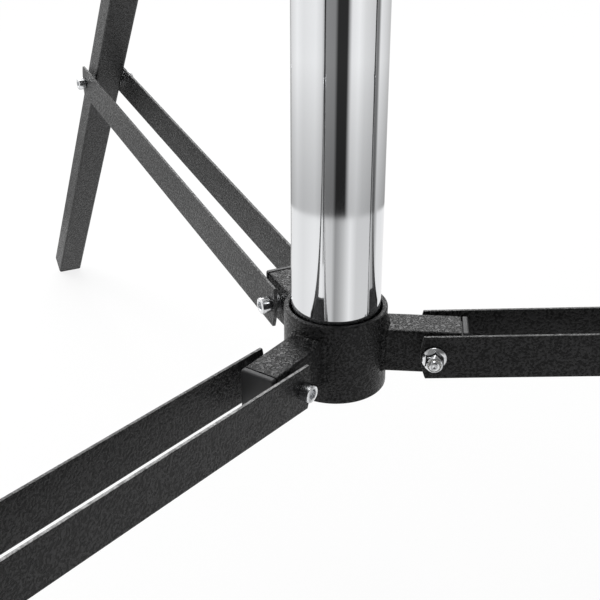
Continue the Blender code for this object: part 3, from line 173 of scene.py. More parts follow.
# Finishes. A recipe gives what varies over the surface; "set" goes on the shader itself.
# Noises are (size, detail), relief is a bump's (strength, distance), and roughness starts with its
# least value, then has a share for each noise.
metal = {"Metallic": 1.0}
plastic = {"slot": "black_plastic", "patch": (0.018, 3.0), "grain": (0.00045, 2.0), "relief": (0.25, 0.00008),
           "roughness": (0.36, 0.16)}
looks = {
    "powderCoat": {
        "slot": "powder_coat", "set": {"Specular IOR Level": 0.28},
        "wrinkle": (0.0015, 4.0), "fine": (0.0005, 2.0), "patch": (0.030, 2.0), "wear": (0.0040, 3.0),
        "crowns": (0.43, 0.57), "heights": (0.8, 0.3), "relief": (1.0, 0.0004),
        # The next two entries paint a highlight in lighter grey, in patches, on the edges of plates.
        "rubbing": (0.35, 0.55, 0.45, 1.0), "rubbed": (0.46, 0.46, 0.46, 1),
        "colours": ((0.002, 0.002, 0.0022), (0.029, 0.029, 0.030)), "roughness": (0.34, 0.12, 0.06)},
    "chrome": {
        "slot": "chrome", "set": metal, "lines": (0.0009, 3.0), "drawnOut": 0.02, "smear": (0.045, 2.0),
        "relief": (0.06, 0.0002), "colours": ((0.80, 0.81, 0.83), (0.86, 0.87, 0.88)),
        "roughness": (0.025, 0.03, 0.015)},
    "zinc": {
        "slot": "zinc", "set": metal, "patch": (0.0035, 4.0), "grain": (0.0005, 2.0),
        "relief": (0.10, 0.00005), "colours": ((0.80, 0.81, 0.83), (0.93, 0.94, 0.95)),
        "roughness": (0.07, 0.18)},
    "steel": {
        "slot": "steel", "set": metal, "patch": (0.010, 3.0), "grain": (0.0007, 3.0),
        "relief": (0.2, 0.00008), "colours": ((0.30, 0.29, 0.28), (0.56, 0.55, 0.54)),
        "roughness": (0.26, 0.24)},
    "ropeWire": {
        "slot": "steel_rope", "set": metal, "wires": (0.0006, 2.0), "grease": (0.012, 2.0), "wireShare": 0.6,
        "relief": (0.4, 0.00015), "colours": ((0.26, 0.26, 0.26), (0.62, 0.62, 0.61)),
        "roughness": (0.30, 0.25)},
    "blackPlastic": {**plastic, "set": {"Specular IOR Level": 0.4},
                     "colours": ((0.009, 0.009, 0.010), (0.020, 0.020, 0.021))},
    "plugPlastic": {**plastic, "set": {"Specular IOR Level": 0.3},
                    "colours": ((0.040, 0.040, 0.042), (0.062, 0.062, 0.064))},
    "nylon": {
        "slot": "nylon", "set": {"Specular IOR Level": 0.4}, "patch": (0.008, 3.0), "grain": (0.008, 3.0),
        "relief": (0.1, 0.0002), "colours": ((0.70, 0.69, 0.64), (0.82, 0.81, 0.77)),
        "roughness": (0.38, 0.15)},
}


def surface(colour, roughness, normal):
    return {"Base Color": colour, "Roughness": roughness, "Normal": normal}


def coatRecipe(place, look):
    # Wrinkled powder coat, glossier on its crowns, with a painted highlight in lighter grey, in patches, on
    # the edges of plates.
    crown = place.noise(*look["wrinkle"]).remap(*look["crowns"], 0.0, 1.0, 'SMOOTHSTEP')
    coarse, fine = look["heights"]
    height = crown * coarse + place.noise(*look["fine"]) * fine
    # Painted highlight: the edge faces of plates turn lighter grey where a patchy noise allows.
    edge = place.node("ShaderNodeAttribute", {"attribute_name": "plateEdgeHighlight"}, None, 2)
    paintedHighlight = edge * place.noise(*look["wear"]).remap(*look["rubbing"])
    least, gloss, patches = look["roughness"]
    roughness = least - crown * gloss + place.noise(*look["patch"]) * patches
    return surface(paintedHighlight.blend(crown.tint(*look["colours"]), look["rubbed"]), roughness,
                   height.bump(*look["relief"]))


def chromeRecipe(place, look):
    # Fine lines along the tube, and faint smears.
    along = place.node("ShaderNodeMapping", None, {"Vector": place, "Scale": (1.0, 1.0, look["drawnOut"])})
    lines, smear = along.noise(*look["lines"]), place.noise(*look["smear"])
    least, fromLines, fromSmear = look["roughness"]
    return surface(smear.tint(*look["colours"]), least + lines * fromLines + smear * fromSmear,
                   smear.bump(*look["relief"]))


def ropeRecipe(place, look):
    wires, (least, span) = place.noise(*look["wires"]), look["roughness"]
    shade = wires * look["wireShare"] + place.noise(*look["grease"]) * (1 - look["wireShare"])
    return surface(shade.tint(*look["colours"]), least + wires * span, wires.bump(*look["relief"]))


def plainRecipe(place, look):
    patch, (least, span) = place.noise(*look["patch"]), look["roughness"]
    return surface(patch.tint(*look["colours"]), least + patch * span,
                   place.noise(*look["grain"]).bump(*look["relief"]))


recipes = {"powderCoat": coatRecipe, "chrome": chromeRecipe, "ropeWire": ropeRecipe}
finishes = {}
for name, look in looks.items():
    made = bpy.data.materials.new(name)
    made.use_nodes = True
    start = Value(made.node_tree)
    place = start.node("ShaderNodeTexCoord", out="Object")
    start.feed(made.node_tree.nodes["Principled BSDF"],
               {**look["set"], **recipes.get(name, plainRecipe)(place, look)})
    finishes[name] = (made, look["slot"])
print("finishes:", ", ".join(finishes))


# Outlines, in two dimensions

def circle(radius, steps, x=0.0, y=0.0):
    return [(x + radius * math.cos(2 * math.pi * i / steps),
             y + radius * math.sin(2 * math.pi * i / steps)) for i in range(steps)]


def arc(x, y, radius, start, end, steps):
    angles = [math.radians(start + (end - start) * i / steps) for i in range(steps + 1)]
    return [(x + radius * math.cos(a), y + radius * math.sin(a)) for a in angles]


def fillet(points, radius, steps=3, closed=True):
    # Rounds the corners of an outline.
    made = []
    count = len(points)
    for i, point in enumerate(points):
        if not closed and i in (0, count - 1):
            made.append(point)
            continue
        corner = Vector(point)
        before, after = Vector(points[i - 1]), Vector(points[(i + 1) % count])
        near = min(radius, 0.45 * (before - corner).length, 0.45 * (after - corner).length)
        a = corner + (before - corner).normalized() * near
        b = corner + (after - corner).normalized() * near
        for k in range(steps + 1):
            t = k / steps
            made.append(tuple(a * (1 - t) ** 2 + corner * 2 * t * (1 - t) + b * t ** 2))
    return made


def slotOutline(length, radiusA, radiusB, steps):
    return arc(0, 0, radiusA, 90, 270, steps) + arc(length, 0, radiusB, -90, 90, steps)


# Rings of points, to be skinned in order

def ring(z, radius, steps):
    return [Vector((radius * math.cos(a), radius * math.sin(a), z))
            for a in (2 * math.pi * i / steps for i in range(steps))]


def hexRing(z, flats, steps, most=1.0, tilt=0.0):
    # A hexagon on round steps; most trims its corners to that radius, and tilt turns it in degrees.
    made = []
    for i in range(steps):
        angle = 2 * math.pi * i / steps
        reach = min(most, flats / 2 / math.cos((angle - math.radians(tilt)) % (math.pi / 3) - math.pi / 6))
        made.append(Vector((reach * math.cos(angle), reach * math.sin(angle), z)))
    return made


def rectRing(z, widthX, widthY, corner, steps=5):
    made = []
    for quarter, (signX, signY) in enumerate(((1, 1), (-1, 1), (-1, -1), (1, -1))):
        x, y = signX * (widthX / 2 - corner), signY * (widthY / 2 - corner)
        made += [Vector((px, py, z)) for px, py in arc(x, y, corner, 90 * quarter, 90 * quarter + 90, steps)]
    return made


def skin(bm, rings, closed=False):
    loops = [[bm.verts.new(point) for point in points] for points in rings]
    pairs = list(zip(loops, loops[1:]))
    if closed:
        pairs.append((loops[-1], loops[0]))
    else:
        bm.faces.new(loops[0])
        bm.faces.new(loops[-1])
    for low, high in pairs:
        for i in range(len(low)):
            j = (i + 1) % len(low)
            bm.faces.new((low[i], low[j], high[j], high[i]))


def lathe(bm, profile, steps, closed=False, place=Matrix()):
    # profile is a list of (radius, height).
    skin(bm, [[place @ p for p in ring(z, r, steps)] for r, z in profile], closed)


def sleeve(bm, inner, outer, low, high, steps, edge, place=Matrix()):
    outline = fillet([(inner, low), (outer, low), (outer, high), (inner, high)], edge)
    lathe(bm, outline, steps, True, place)


def rod(bm, start, end, radius, steps=32, edge=0.0):
    axis = Vector(end) - Vector(start)
    place = Matrix.Translation(start) @ axis.to_track_quat('Z', 'Y').to_matrix().to_4x4()
    profile = [(radius - edge, 0), (radius, edge), (radius, axis.length - edge), (radius - edge, axis.length)]
    lathe(bm, profile if edge else [(radius, 0), (radius, axis.length)], steps, False, place)


def block(bm, low, high):
    size = [b - a for a, b in zip(low, high)]
    centre = [(a + b) / 2 for a, b in zip(low, high)]
    bmesh.ops.create_cube(bm, size=1.0, matrix=Matrix.LocRotScale(centre, None, size))


def plate(bm, outline, thickness, holes=(), place=Matrix(), rub=0.5):
    # A flat plate in XY, its thickness centred on z = 0. The faces round its edge are marked for a painted
    # highlight.
    mark = bm.faces.layers.float.get("plateEdgeHighlight") or bm.faces.layers.float.new("plateEdgeHighlight")
    before = set(bm.faces)
    edges = []
    for loop in (outline, *holes):
        verts = [bm.verts.new(place @ Vector((x, y, -thickness / 2))) for x, y in loop]
        edges += [bm.edges.new((a, b)) for a, b in zip(verts, verts[1:] + verts[:1])]
    normal = place.to_3x3() @ Vector((0, 0, 1))
    filled = bmesh.ops.triangle_fill(bm, use_beauty=True, edges=edges, normal=normal)
    faces = [f for f in filled["geom"] if isinstance(f, bmesh.types.BMFace)]
    raised = bmesh.ops.extrude_face_region(bm, geom=faces, use_keep_orig=True)
    verts = [v for v in raised["geom"] if isinstance(v, bmesh.types.BMVert)]
    bmesh.ops.translate(bm, verts=verts, vec=normal * thickness)
    for face in set(bm.faces) - before:
        face.normal_update()
        face[mark] = rub if abs(face.normal.dot(normal)) < 0.5 else 0.0


def drawn(shape, *values):
    # A new mesh with one shape in it.
    bm = bmesh.new()
    shape(bm, *values)
    return bm


# Objects

def linked(name, data):
    made = bpy.data.objects.new(name, data)
    bpy.context.scene.collection.objects.link(made)
    return made


def newObject(name, bm, place):
    bmesh.ops.transform(bm, matrix=place, verts=bm.verts)
    bmesh.ops.recalc_face_normals(bm, faces=bm.faces)
    mesh = bpy.data.meshes.new(name)
    bm.to_mesh(mesh)
    bm.free()
    return linked(name, mesh)


def settle(made):
    # Turns what the modifiers give into a plain mesh.
    graph = bpy.context.evaluated_depsgraph_get()
    mesh = bpy.data.meshes.new_from_object(made.evaluated_get(graph), preserve_all_data_layers=True,
                                           depsgraph=graph)
    made.modifiers.clear()
    old, made.data = made.data, mesh
    bpy.data.meshes.remove(old)
    mesh.name = made.name


def carve(made, steps):
    # steps are (operation, tool object) pairs; the tools are used up.
    for operation, tool in steps:
        step = made.modifiers.new("cut", 'BOOLEAN')
        step.operation, step.solver, step.object = operation, 'EXACT', tool
    settle(made)
    for _, tool in steps:
        bpy.data.objects.remove(tool)


def soften(made, width):
    # Rounds the sharp edges and clears the slivers that this can leave.
    edges = made.modifiers.new("edges", 'BEVEL')
    edges.width, edges.segments = width, 3
    edges.limit_method, edges.angle_limit = 'ANGLE', math.radians(38)
    settle(made)
    bm = bmesh.new()
    bm.from_mesh(made.data)
    bmesh.ops.dissolve_degenerate(bm, dist=0.000002, edges=bm.edges[:])
    bm.to_mesh(made.data)
    bm.free()


def complete(made, finish, body, nodes=(), bevel=0.0):
    # Softens the edges, gives the finish and ties the piece to its body.
    material, slot = finishes[finish]
    if bevel:
        soften(made, bevel)
    made.data.materials.clear()
    made.data.materials.append(material)
    made.data.shade_smooth()
    made.data.set_sharp_from_angle(angle=math.radians(42))
    made.modifiers.new("normals", 'WEIGHTED_NORMAL').keep_sharp = True
    settle(made)
    if body:
        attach(made, body)
    if nodes:
        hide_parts(*nodes)
    return made


def addPiece(name, bm, finish, body, nodes, place, bevel=0.0):
    return complete(newObject(name, bm, place), finish, body, nodes, bevel)


# Geometry Nodes trees

def newTree(name, inputs):
    tree = bpy.data.node_groups.new(name, "GeometryNodeTree")
    tree.interface.new_socket("Geometry", in_out='INPUT', socket_type="NodeSocketGeometry")
    tree.interface.new_socket("Geometry", in_out='OUTPUT', socket_type="NodeSocketGeometry")
    for label, kind, value in inputs:
        socket = tree.interface.new_socket(label, in_out='INPUT', socket_type="NodeSocket" + kind)
        if value is not None:
            socket.default_value = value
    tree.interface.new_socket("Finish", in_out='INPUT', socket_type="NodeSocketMaterial")
    return Value(tree).node("NodeGroupInput", out="Geometry")


def closeTree(geometry, shape):
    # Every tree ends in the same two nodes.
    real = geometry.node("GeometryNodeRealizeInstances", None, {"Geometry": shape})
    done = geometry.node("GeometryNodeSetMaterial", None,
                         {"Geometry": real, "Material": geometry.sibling("Finish")})
    last = geometry.tree.nodes.new("NodeGroupOutput")
    geometry.feed(last, {0: done})
    return geometry.tree


def roundTree():
    # Copies a piece about the mast.
    start = newTree("aroundMast", [("Count", "Int", 3), ("First", "Float", 0.0), ("Centre", "Vector", None)])
    single = start.node("GeometryNodeGeometryToInstance", None, {"Geometry": start})
    many = start.node("GeometryNodeDuplicateElements", {"domain": 'INSTANCE'},
                      {"Geometry": single, "Amount": start.sibling("Count")})
    angle = start.sibling("First") + many.sibling("Duplicate Index") * (2 * math.pi) / start.sibling("Count")
    spin = start.node("ShaderNodeCombineXYZ", None, {"Z": angle})
    turned = start.node("GeometryNodeRotateInstances", None,
                        {"Instances": many, "Rotation": spin, "Pivot Point": start.sibling("Centre"),
                         "Local Space": False})
    return closeTree(start, turned)


def resampled(start, step):
    path = start.node("GeometryNodeMeshToCurve", None, {"Mesh": start})
    return start.node("GeometryNodeResampleCurve", {"mode": 'LENGTH'}, {"Curve": path, "Length": step})


def ropeTree():
    # Lays strands round a path.
    start = newTree("wireRope", [("Strands", "Int", 6), ("Diameter", "Float", 0.003),
                                 ("Lay", "Float", 0.02), ("Step", "Float", 0.002)])
    path = resampled(start, start.sibling("Step"))
    many = start.node("GeometryNodeDuplicateElements", {"domain": 'SPLINE'},
                      {"Geometry": path, "Amount": start.sibling("Strands")})
    length = start.node("GeometryNodeSplineParameter", out="Length")
    turns = many.sibling("Duplicate Index") / start.sibling("Strands") + length / start.sibling("Lay")
    angle = turns * (2 * math.pi)
    normal = start.node("GeometryNodeInputNormal")
    across = normal.vector('CROSS_PRODUCT', {1: start.node("GeometryNodeInputTangent")})
    reach = start.sibling("Diameter") / 3
    one = normal.vector('SCALE', {"Scale": reach * angle.math('COSINE', angle)})
    two = across.vector('SCALE', {"Scale": reach * angle.math('SINE', angle)})
    laid = start.node("GeometryNodeSetPosition", None,
                      {"Geometry": many, "Offset": one.vector('ADD', {1: two})})
    wire = start.node("GeometryNodeCurvePrimitiveCircle", None,
                      {"Resolution": 6, "Radius": start.sibling("Diameter") / 6})
    solid = start.node("GeometryNodeCurveToMesh", None,
                       {"Curve": laid, "Profile Curve": wire, "Fill Caps": True})
    return closeTree(start, solid)


def weldTree():
    # A bead along a path, thicker and thinner by turns.
    start = newTree("weldBead", [("Ripple", "Float", 0.0018), ("Size", "Float", 0.0020),
                                 ("Seed", "Float", 4.0), ("Step", "Float", 0.00045)])
    path = resampled(start, start.sibling("Step"))
    length = start.node("GeometryNodeSplineParameter", out="Length")
    wave = start.math('SINE', length * (2 * math.pi) / start.sibling("Ripple"))
    spot = start.node("GeometryNodeInputPosition")
    uneven = start.node("ShaderNodeTexNoise", {"noise_dimensions": '4D'},
                        {"Vector": spot, "W": start.sibling("Seed"), "Scale": 260.0, "Detail": 2.0})
    girth = start.sibling("Size") * (wave * 0.07 + uneven * 0.9 + 0.55)
    bead = start.node("GeometryNodeCurvePrimitiveCircle", None, {"Resolution": 12, "Radius": 1.0})
    solid = start.node("GeometryNodeCurveToMesh", None,
                       {"Curve": path, "Profile Curve": bead, "Scale": girth, "Fill Caps": True})
    return closeTree(start, solid)


aroundMast, wireRope, weldBead = roundTree(), ropeTree(), weldTree()


def runTree(made, tree, finish, values):
    step = made.modifiers.new(tree.name, 'NODES')
    step.node_group = tree
    values = {**values, "Finish": finishes[finish][0]}
    for item in tree.interface.items_tree:
        if item.in_out == 'INPUT' and item.name in values:
            step[item.identifier] = values[item.name]
    settle(made)


def goRound(made, finish, azimuth=None):
    # Copies a piece to all the arms, or turns it to the one arm at azimuth.
    count, first = (len(arms), arms[0]) if azimuth is None else (1, azimuth)
    runTree(made, aroundMast, finish,
            {"Count": count, "First": math.radians(first), "Centre": tuple(mastAxis)})


def addRound(name, bm, finish, body, nodes, place, azimuth=None, bevel=0.0):
    # place is in the arm's own frame, with the arm along +X.
    made = newObject(name, bm, onMast @ place)
    if bevel:
        soften(made, bevel)
    goRound(made, finish, azimuth)
    return complete(made, finish, body, nodes)


def addPath(name, paths, tree, finish, body, nodes, place, values, closed=False):
    bm = bmesh.new()
    for path in paths:
        verts = [bm.verts.new(p) for p in path]
        pairs = list(zip(verts, verts[1:])) + ([(verts[-1], verts[0])] if closed else [])
        for a, b in pairs:
            bm.edges.new((a, b))
    made = newObject(name, bm, place)
    runTree(made, tree, finish, values)
    return complete(made, finish, body, nodes)


def addWeld(name, paths, body, place, values, closed=False):
    return addPath(name, paths, weldBead, "powderCoat", body, [], place, values, closed)


def addRope(name, path, body, node, place, values):
    return addPath(name, [path], wireRope, "ropeWire", body, [node], place, values)


def three(node):
    return [f"{node}_{number}" for number in (1, 2, 3)]


# Camera, matched to the photograph: short tele, looking down along +Y
view = {"location": (-0.0200, -0.5772, 0.3034), "tilt": 62.44, "lens": 70.2, "sensor": 36.0,
        "clip": (0.05, 60.0)}


def makeCamera():
    data = bpy.data.cameras.new("camera")
    data.lens, data.sensor_width = view["lens"], view["sensor"]
    data.clip_start, data.clip_end = view["clip"]
    camera = linked("camera", data)
    camera.location = mastAxis + Vector((0, 0, hubHigh)) + Vector(view["location"])
    camera.rotation_euler = (math.radians(view["tilt"]), 0, 0)
    bpy.context.scene.camera = camera


makeCamera()

# Fasteners, drawn along z with the head up
fastener = {
    "steps": 96, "shank": 0.003, "hole": 0.0033, "spacer": 0.006,
    "head": 0.005, "headHeight": 0.006, "knurl": 0.965, "socket": 0.005, "socketDepth": 0.003,
    "flange": 0.0071, "flats": 0.010, "nutHeight": 0.0067, "nutTilt": 34.0, "seal": (0.00305, 0.0036),
    "end": 0.0093,
}


def headRings(seat):
    f = fastener
    n, r, top = f["steps"], f["head"], seat + f["headHeight"]

    def knurled(z):
        return [p * (f["knurl"] if i % 2 else 1.0) + Vector((0, 0, z)) for i, p in enumerate(ring(0, r, n))]

    return [hexRing(top - f["socketDepth"], f["socket"], n), hexRing(top - 0.0003, f["socket"], n),
            hexRing(top, f["socket"] + 0.0005, n), ring(top, r - 0.0007, n),
            ring(top - 0.0003, r - 0.0002, n), knurled(top - 0.0005), knurled(seat + 0.0005),
            ring(seat + 0.0003, r - 0.0002, n), ring(seat, r - 0.0004, n), ring(seat, f["shank"], n)]


def nutRings(seat):
    # A flanged locknut with a domed collar, and the screw's end standing out of it.
    f = fastener
    n, shank, wide = f["steps"], f["shank"], f["flange"]
    end, tip = seat - f["nutHeight"], seat - f["end"]

    def turned(start, profile):
        # profile is (down from start, radius) pairs.
        return [ring(start - down, radius, n) for down, radius in profile]

    flange = [(0, shank), (0, wide - 0.0003), (0.0003, wide), (0.0007, wide), (0.0011, wide - 0.0003),
              (0.0021, 0.0058)]
    hexagon = [(seat - 0.0022, 0.00565), (end + 0.0011, 0.00565), (end + 0.0005, 0.00535)]
    dome = [(0, 0.0049), (0.0006, 0.0047), (0.0011, 0.0043), (0.0013, 0.0040), (0.0012, 0.0038),
            (0.0005, 0.0036), (0.0005, shank)]
    thread = [(0.0006 + 0.0003 * i, shank - (0.0002 if i % 2 else 0.0)) for i in range(5)]
    point = [(-0.0003, shank - 0.0002), (0, shank - 0.0006), (0, 0.0008), (-0.0002, 0.0004)]
    return (turned(seat, flange) + [hexRing(z, f["flats"], n, most, f["nutTilt"]) for z, most in hexagon]
            + turned(end, dome + thread) + turned(tip, point))


def addPivot(name, sealName, body, nodes, seat, place, azimuth=None, inside=0.0, split=False):
    # A screw with its nut across an arm, and the nut's locking ring. Spacers start inside from the
    # arm's middle, and a split screw leaves the room between them free.
    n, shank, end = fastener["steps"], fastener["shank"], -seat - fastener["nutHeight"]
    bm = bmesh.new()
    if split:
        skin(bm, headRings(seat) + [ring(inside, shank, n)])
        skin(bm, [ring(-inside, shank, n)] + nutRings(-seat))
    else:
        skin(bm, headRings(seat) + nutRings(-seat))
    if inside:
        for side in (1, -1):
            low, high = sorted((side * inside, side * (layout["barInner"] - gap)))
            sleeve(bm, shank + 0.0001, fastener["spacer"], low, high, n, 0.0003)
    addRound(name, bm, "zinc", body, nodes, place @ acrossArm, azimuth)
    seal = drawn(sleeve, *fastener["seal"], end - 0.0010, end - 0.0005, n, 0.00015)
    addRound(sealName, seal, "nylon", body, [], place @ acrossArm, azimuth)


def drillAcross(made, place, half):
    tool = drawn(rod, (0, -half, 0), (0, half, 0), fastener["hole"])
    carve(made, [('DIFFERENCE', newObject("drill", tool, onMast @ place))])


# Mast and its sections, by their outer radii
tubes = {"mast": 0.025, "first": 0.019, "second": 0.014, "wall": 0.0015, "steps": 128, "edge": 0.0004}


def makeTubes():
    for tube, body in (("mast", "mast"), ("first", "section_1"), ("second", "section_2")):
        node, outer = body + "_tube", tubes[tube]
        bm = drawn(sleeve, outer - tubes["wall"], outer, *heights(node), tubes["steps"], tubes["edge"])
        addPiece(tube + "Tube", bm, "chrome", body, [node], onMast)
    for node in ("section_1_bush", "section_2_bush"):
        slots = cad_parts[node].data.materials
        slots.clear()
        slots.append(finishes["nylon"][0])


makeTubes()
print("tubes done")

# Hub, with its three lugs welded on. A box tube is its two widths, its wall and its corners' radius.
hub = {
    "outer": 0.029, "bore": 0.026, "lipBore": 0.022, "lipHeight": 0.004, "edge": 0.0009, "steps": 128,
    "lug": (0.026, 0.021, 0.002, 0.0013), "lugReach": 0.070, "plugLip": 0.0043, "plugDepth": 0.010,
    "plugSeam": 0.0009, "bead": 0.0024, "sunk": 0.0007, "weldCorner": 0.0016,
}


def tubeRings(low, high, tube, edge=0.0003):
    x, y, wall, corner = tube
    innerX, innerY, inner = x - 2 * wall, y - 2 * wall, max(corner - wall * 0.8, 0.0004)
    return [rectRing(low + edge, x, y, corner), rectRing(high - edge, x, y, corner),
            rectRing(high, x - edge, y - edge, corner), rectRing(high, innerX, innerY, inner),
            rectRing(low, innerX, innerY, inner), rectRing(low, x - edge, y - edge, corner)]


def plugRings(tube, lip, depth, seam=0.0003):
    # A plug in a tube's end, its lip softened towards the outside.
    x, y, wall, corner = tube
    coreX, coreY = (width - 2 * wall - 2 * gap for width in (x, y))
    soft, small = min(0.0012, lip / 2), 0.0006
    rings = [rectRing(-depth, coreX - 0.001, coreY - 0.001, small),
             rectRing(0.002 - depth, coreX, coreY, small), rectRing(seam, coreX, coreY, small),
             rectRing(seam, x - 0.0004, y - 0.0004, corner), rectRing(seam + 0.0002, x, y, corner)]
    for angle in (0, 30, 60, 90):
        shrink = 2 * soft * (1 - math.cos(math.radians(angle)))
        rings.append(rectRing(lip - soft + soft * math.sin(math.radians(angle)), x - shrink, y - shrink,
                              max(corner - shrink / 4, small)))
    return rings


def makeHub():
    lip, outer, bore, step = hub["lipBore"], hub["outer"], hub["bore"], hubLow + hub["lipHeight"]
    profile = [(lip, hubLow), (outer, hubLow), (outer, hubHigh), (bore, hubHigh), (bore, step), (lip, step)]
    bm = drawn(lathe, fillet(profile, hub["edge"], 4), hub["steps"], True)
    addPiece("hub", bm, "powderCoat", "mast", ["hub"], onMast @ turn(arms[0], 'Z'))

    height, width = hub["lug"][:2]
    pivot = at(pivotRadius, 0, hubPivot)
    bm = drawn(skin, tubeRings(bore + hub["sunk"], hub["lugReach"], hub["lug"]), True)
    lugs = newObject("hubLugs", bm, onMast @ at(0, 0, hubPivot) @ outward)
    drillAcross(lugs, pivot, width)
    goRound(lugs, "powderCoat")
    complete(lugs, "powderCoat", "mast")
    bm = drawn(skin, plugRings(hub["lug"], hub["plugLip"], hub["plugDepth"], hub["plugSeam"]))
    addRound("lugPlugs", bm, "plugPlastic", "mast", three("lug_plug"),
             at(hub["lugReach"], 0, hubPivot) @ outward)
    addPivot("hubBolts", "hubNutSeals", "mast", three("hub_bolt"), layout["barOuter"] + gap, pivot,
             inside=width / 2 + gap)

    # Weld where each lug meets the hub
    half, up, core = (reach - hub["sunk"] for reach in (width / 2, height / 2, outer))
    outline = fillet([(-half, -up), (half, -up), (half, up), (-half, up)], hub["weldCorner"], 3)
    loops = []
    for azimuth in arms:
        path = []
        for start, end in zip(outline, outline[1:] + outline[:1]):
            for k in range(6):
                y, z = (a + (b - a) * k / 6 for a, b in zip(start, end))
                path.append(turn(azimuth, 'Z') @ Vector((math.sqrt(core ** 2 - y ** 2), y, hubPivot + z)))
        loops.append(path)
    addWeld("hubWelds", loops, "mast", onMast, {"Size": hub["bead"]}, True)


makeHub()
print("hub done")

# Braces: two flat bars to an arm, and the knee's fasteners
# Two entries set the painted highlight on the bars' edges: its strength, and the one bar that gets it
# strongest.
bars = {"height": 0.026, "thickness": 0.002, "endRadius": 0.041, "overhang": 0.0075, "edge": 0.00035,
        "rub": 0.28, "brightestEdge": (3, 1), "halfLeg": 0.01175}


def makeBraces():
    length, radius = layout["braceLength"], bars["endRadius"]
    spread = math.degrees(math.asin(bars["height"] / 2 / radius))
    reach = radius - bars["overhang"]
    outline = (arc(reach, 0, radius, 180 - spread, 180 + spread, 14)
               + arc(length - reach, 0, radius, -spread, spread, 14))
    holes = [circle(fastener["hole"], 24), circle(fastener["hole"], 24, length)]
    inArm = at(pivotRadius, 0, hubPivot) @ turn(-layout["braceRise"], 'Y')
    for number, azimuth in enumerate(arms, 1):
        body = f"brace_{number}"
        bm = bmesh.new()
        for side in (1, -1):
            y = side * (layout["barInner"] + layout["barOuter"]) / 2
            # One bar's edges get the strongest painted highlight, and the other bars a fainter one.
            rub = 1.0 if (number, side) == bars["brightestEdge"] else bars["rub"]
            plate(bm, outline, bars["thickness"], holes, at(0, y, 0) @ upright, rub)
        addRound(f"braceBars_{number}", bm, "powderCoat", body,
                 [f"brace_left_{number}", f"brace_right_{number}"], inArm, azimuth, bars["edge"])
        addPivot(f"kneeFasteners_{number}", f"kneeNutSeal_{number}", body,
                 [f"knee_bolt_{number}", f"knee_nut_{number}"], layout["barOuter"] + gap,
                 inArm @ at(length, 0, 0), azimuth, bars["halfLeg"] + gap, True)


makeBraces()
print("braces done")

# Legs: box tube with plastic ends
legs = {"tube": (0.020, 0.0235, 0.0015, 0.002), "abovePivot": 0.012, "belowKnee": 0.336, "lip": 0.003,
        "capDepth": 0.010, "plugDepth": 0.007}


def makeLegs():
    aboveKnee = (layout["braceLength"] * math.cos(math.radians(layout["braceRise"]))
                 / math.sin(math.radians(layout["legLean"])))
    bottom, top = -(aboveKnee + legs["belowKnee"]), legs["abovePivot"]
    inArm = at(pivotRadius, 0, collarPivot) @ turn(-layout["legLean"], 'Y')
    ends = (("footCap", "foot_cap", legs["capDepth"], at(0, 0, bottom) @ turn(180, 'X')),
            ("legPlug", "leg_plug", legs["plugDepth"], at(0, 0, top)))
    for number, azimuth in enumerate(arms, 1):
        body = f"leg_{number}"
        bm = drawn(skin, tubeRings(bottom, top, legs["tube"]), True)
        leg = newObject(body + "_tube", bm, onMast @ inArm)
        drillAcross(leg, inArm, legs["tube"][1])
        goRound(leg, "powderCoat", azimuth)
        complete(leg, "powderCoat", body, [body])
        for name, node, depth, place in ends:
            bm = drawn(skin, plugRings(legs["tube"], legs["lip"], depth))
            addRound(f"{name}_{number}", bm, "blackPlastic", body, [f"{node}_{number}"], inArm @ place,
                     azimuth)


makeLegs()
print("legs done")

# Sliding collar that the legs hang from
collar = {"outer": 0.030, "bore": 0.0254, "height": 0.060, "edge": 0.0009, "steps": 128, "earInner": 0.01255,
          "earOuter": 0.01555, "earHeight": 0.028, "earReach": 0.069, "earEdge": 0.0005, "web": 0.033,
          "boss": 0.009, "bossLength": 0.010, "screw": 0.004, "bead": 0.0022}


def makeCollar():
    half, ear = collar["height"] / 2, collar["earHeight"] / 2
    start, inner, outer = collar["bore"] + 0.001, collar["earInner"], collar["earOuter"]
    bm = drawn(sleeve, collar["bore"], collar["outer"], -half, half, collar["steps"], collar["edge"])
    boss = turn(layout["winchAzimuth"], 'Z') @ at(start, 0, 0) @ outward
    sleeve(bm, collar["screw"] + gap, collar["boss"], 0, collar["outer"] + collar["bossLength"] - start, 48,
           0.0008, boss)
    addPiece("slideCollar", bm, "powderCoat", "leg_collar", ["slide_collar"], onMast @ at(0, 0, collarPivot))

    outline = [(start, -ear)] + arc(collar["earReach"] - ear, 0, ear, -90, 90, 24) + [(start, ear)]
    bm = bmesh.new()
    for side in (1, -1):
        plate(bm, outline, outer - inner, [circle(fastener["hole"], 24, pivotRadius)],
              at(0, side * (inner + outer) / 2, 0) @ upright)
    block(bm, (start, -inner, -ear), (collar["web"], inner, ear))
    addRound("collarEars", bm, "powderCoat", "leg_collar", [], at(0, 0, collarPivot), None, collar["earEdge"])
    addPivot("collarBolts", "collarNutSeals", "leg_collar", three("collar_bolt"), outer + gap,
             at(pivotRadius, 0, collarPivot))

    x = math.sqrt(collar["outer"] ** 2 - outer ** 2)
    paths = [[turn(azimuth, 'Z') @ Vector((x, side * outer, collarPivot + z)) for z in (-ear, 0, ear)]
             for azimuth in arms for side in (1, -1)]
    addWeld("collarWelds", paths, "leg_collar", onMast, {"Size": collar["bead"]})


makeCollar()

# Hand knobs, drawn along z from the screw's tip
knobs = {
    "screw": 0.004, "pitch": 0.0012, "thread": 0.0004, "depth": 0.020, "steps": 96, "clear": 0.004,
    "clamp": 0.022, "head": 0.017,
    # (share of the knob's depth, share of its radius)
    "profile": ((0.30, 0.78), (0.32, 0.88), (0.36, 0.95), (0.43, 0.99), (0.52, 1.0), (0.78, 1.0),
                (0.87, 0.985), (0.93, 0.95), (0.97, 0.89), (0.99, 0.80), (1.0, 0.66), (0.985, 0.50),
                (0.975, 0.30), (0.972, 0.12)),
}


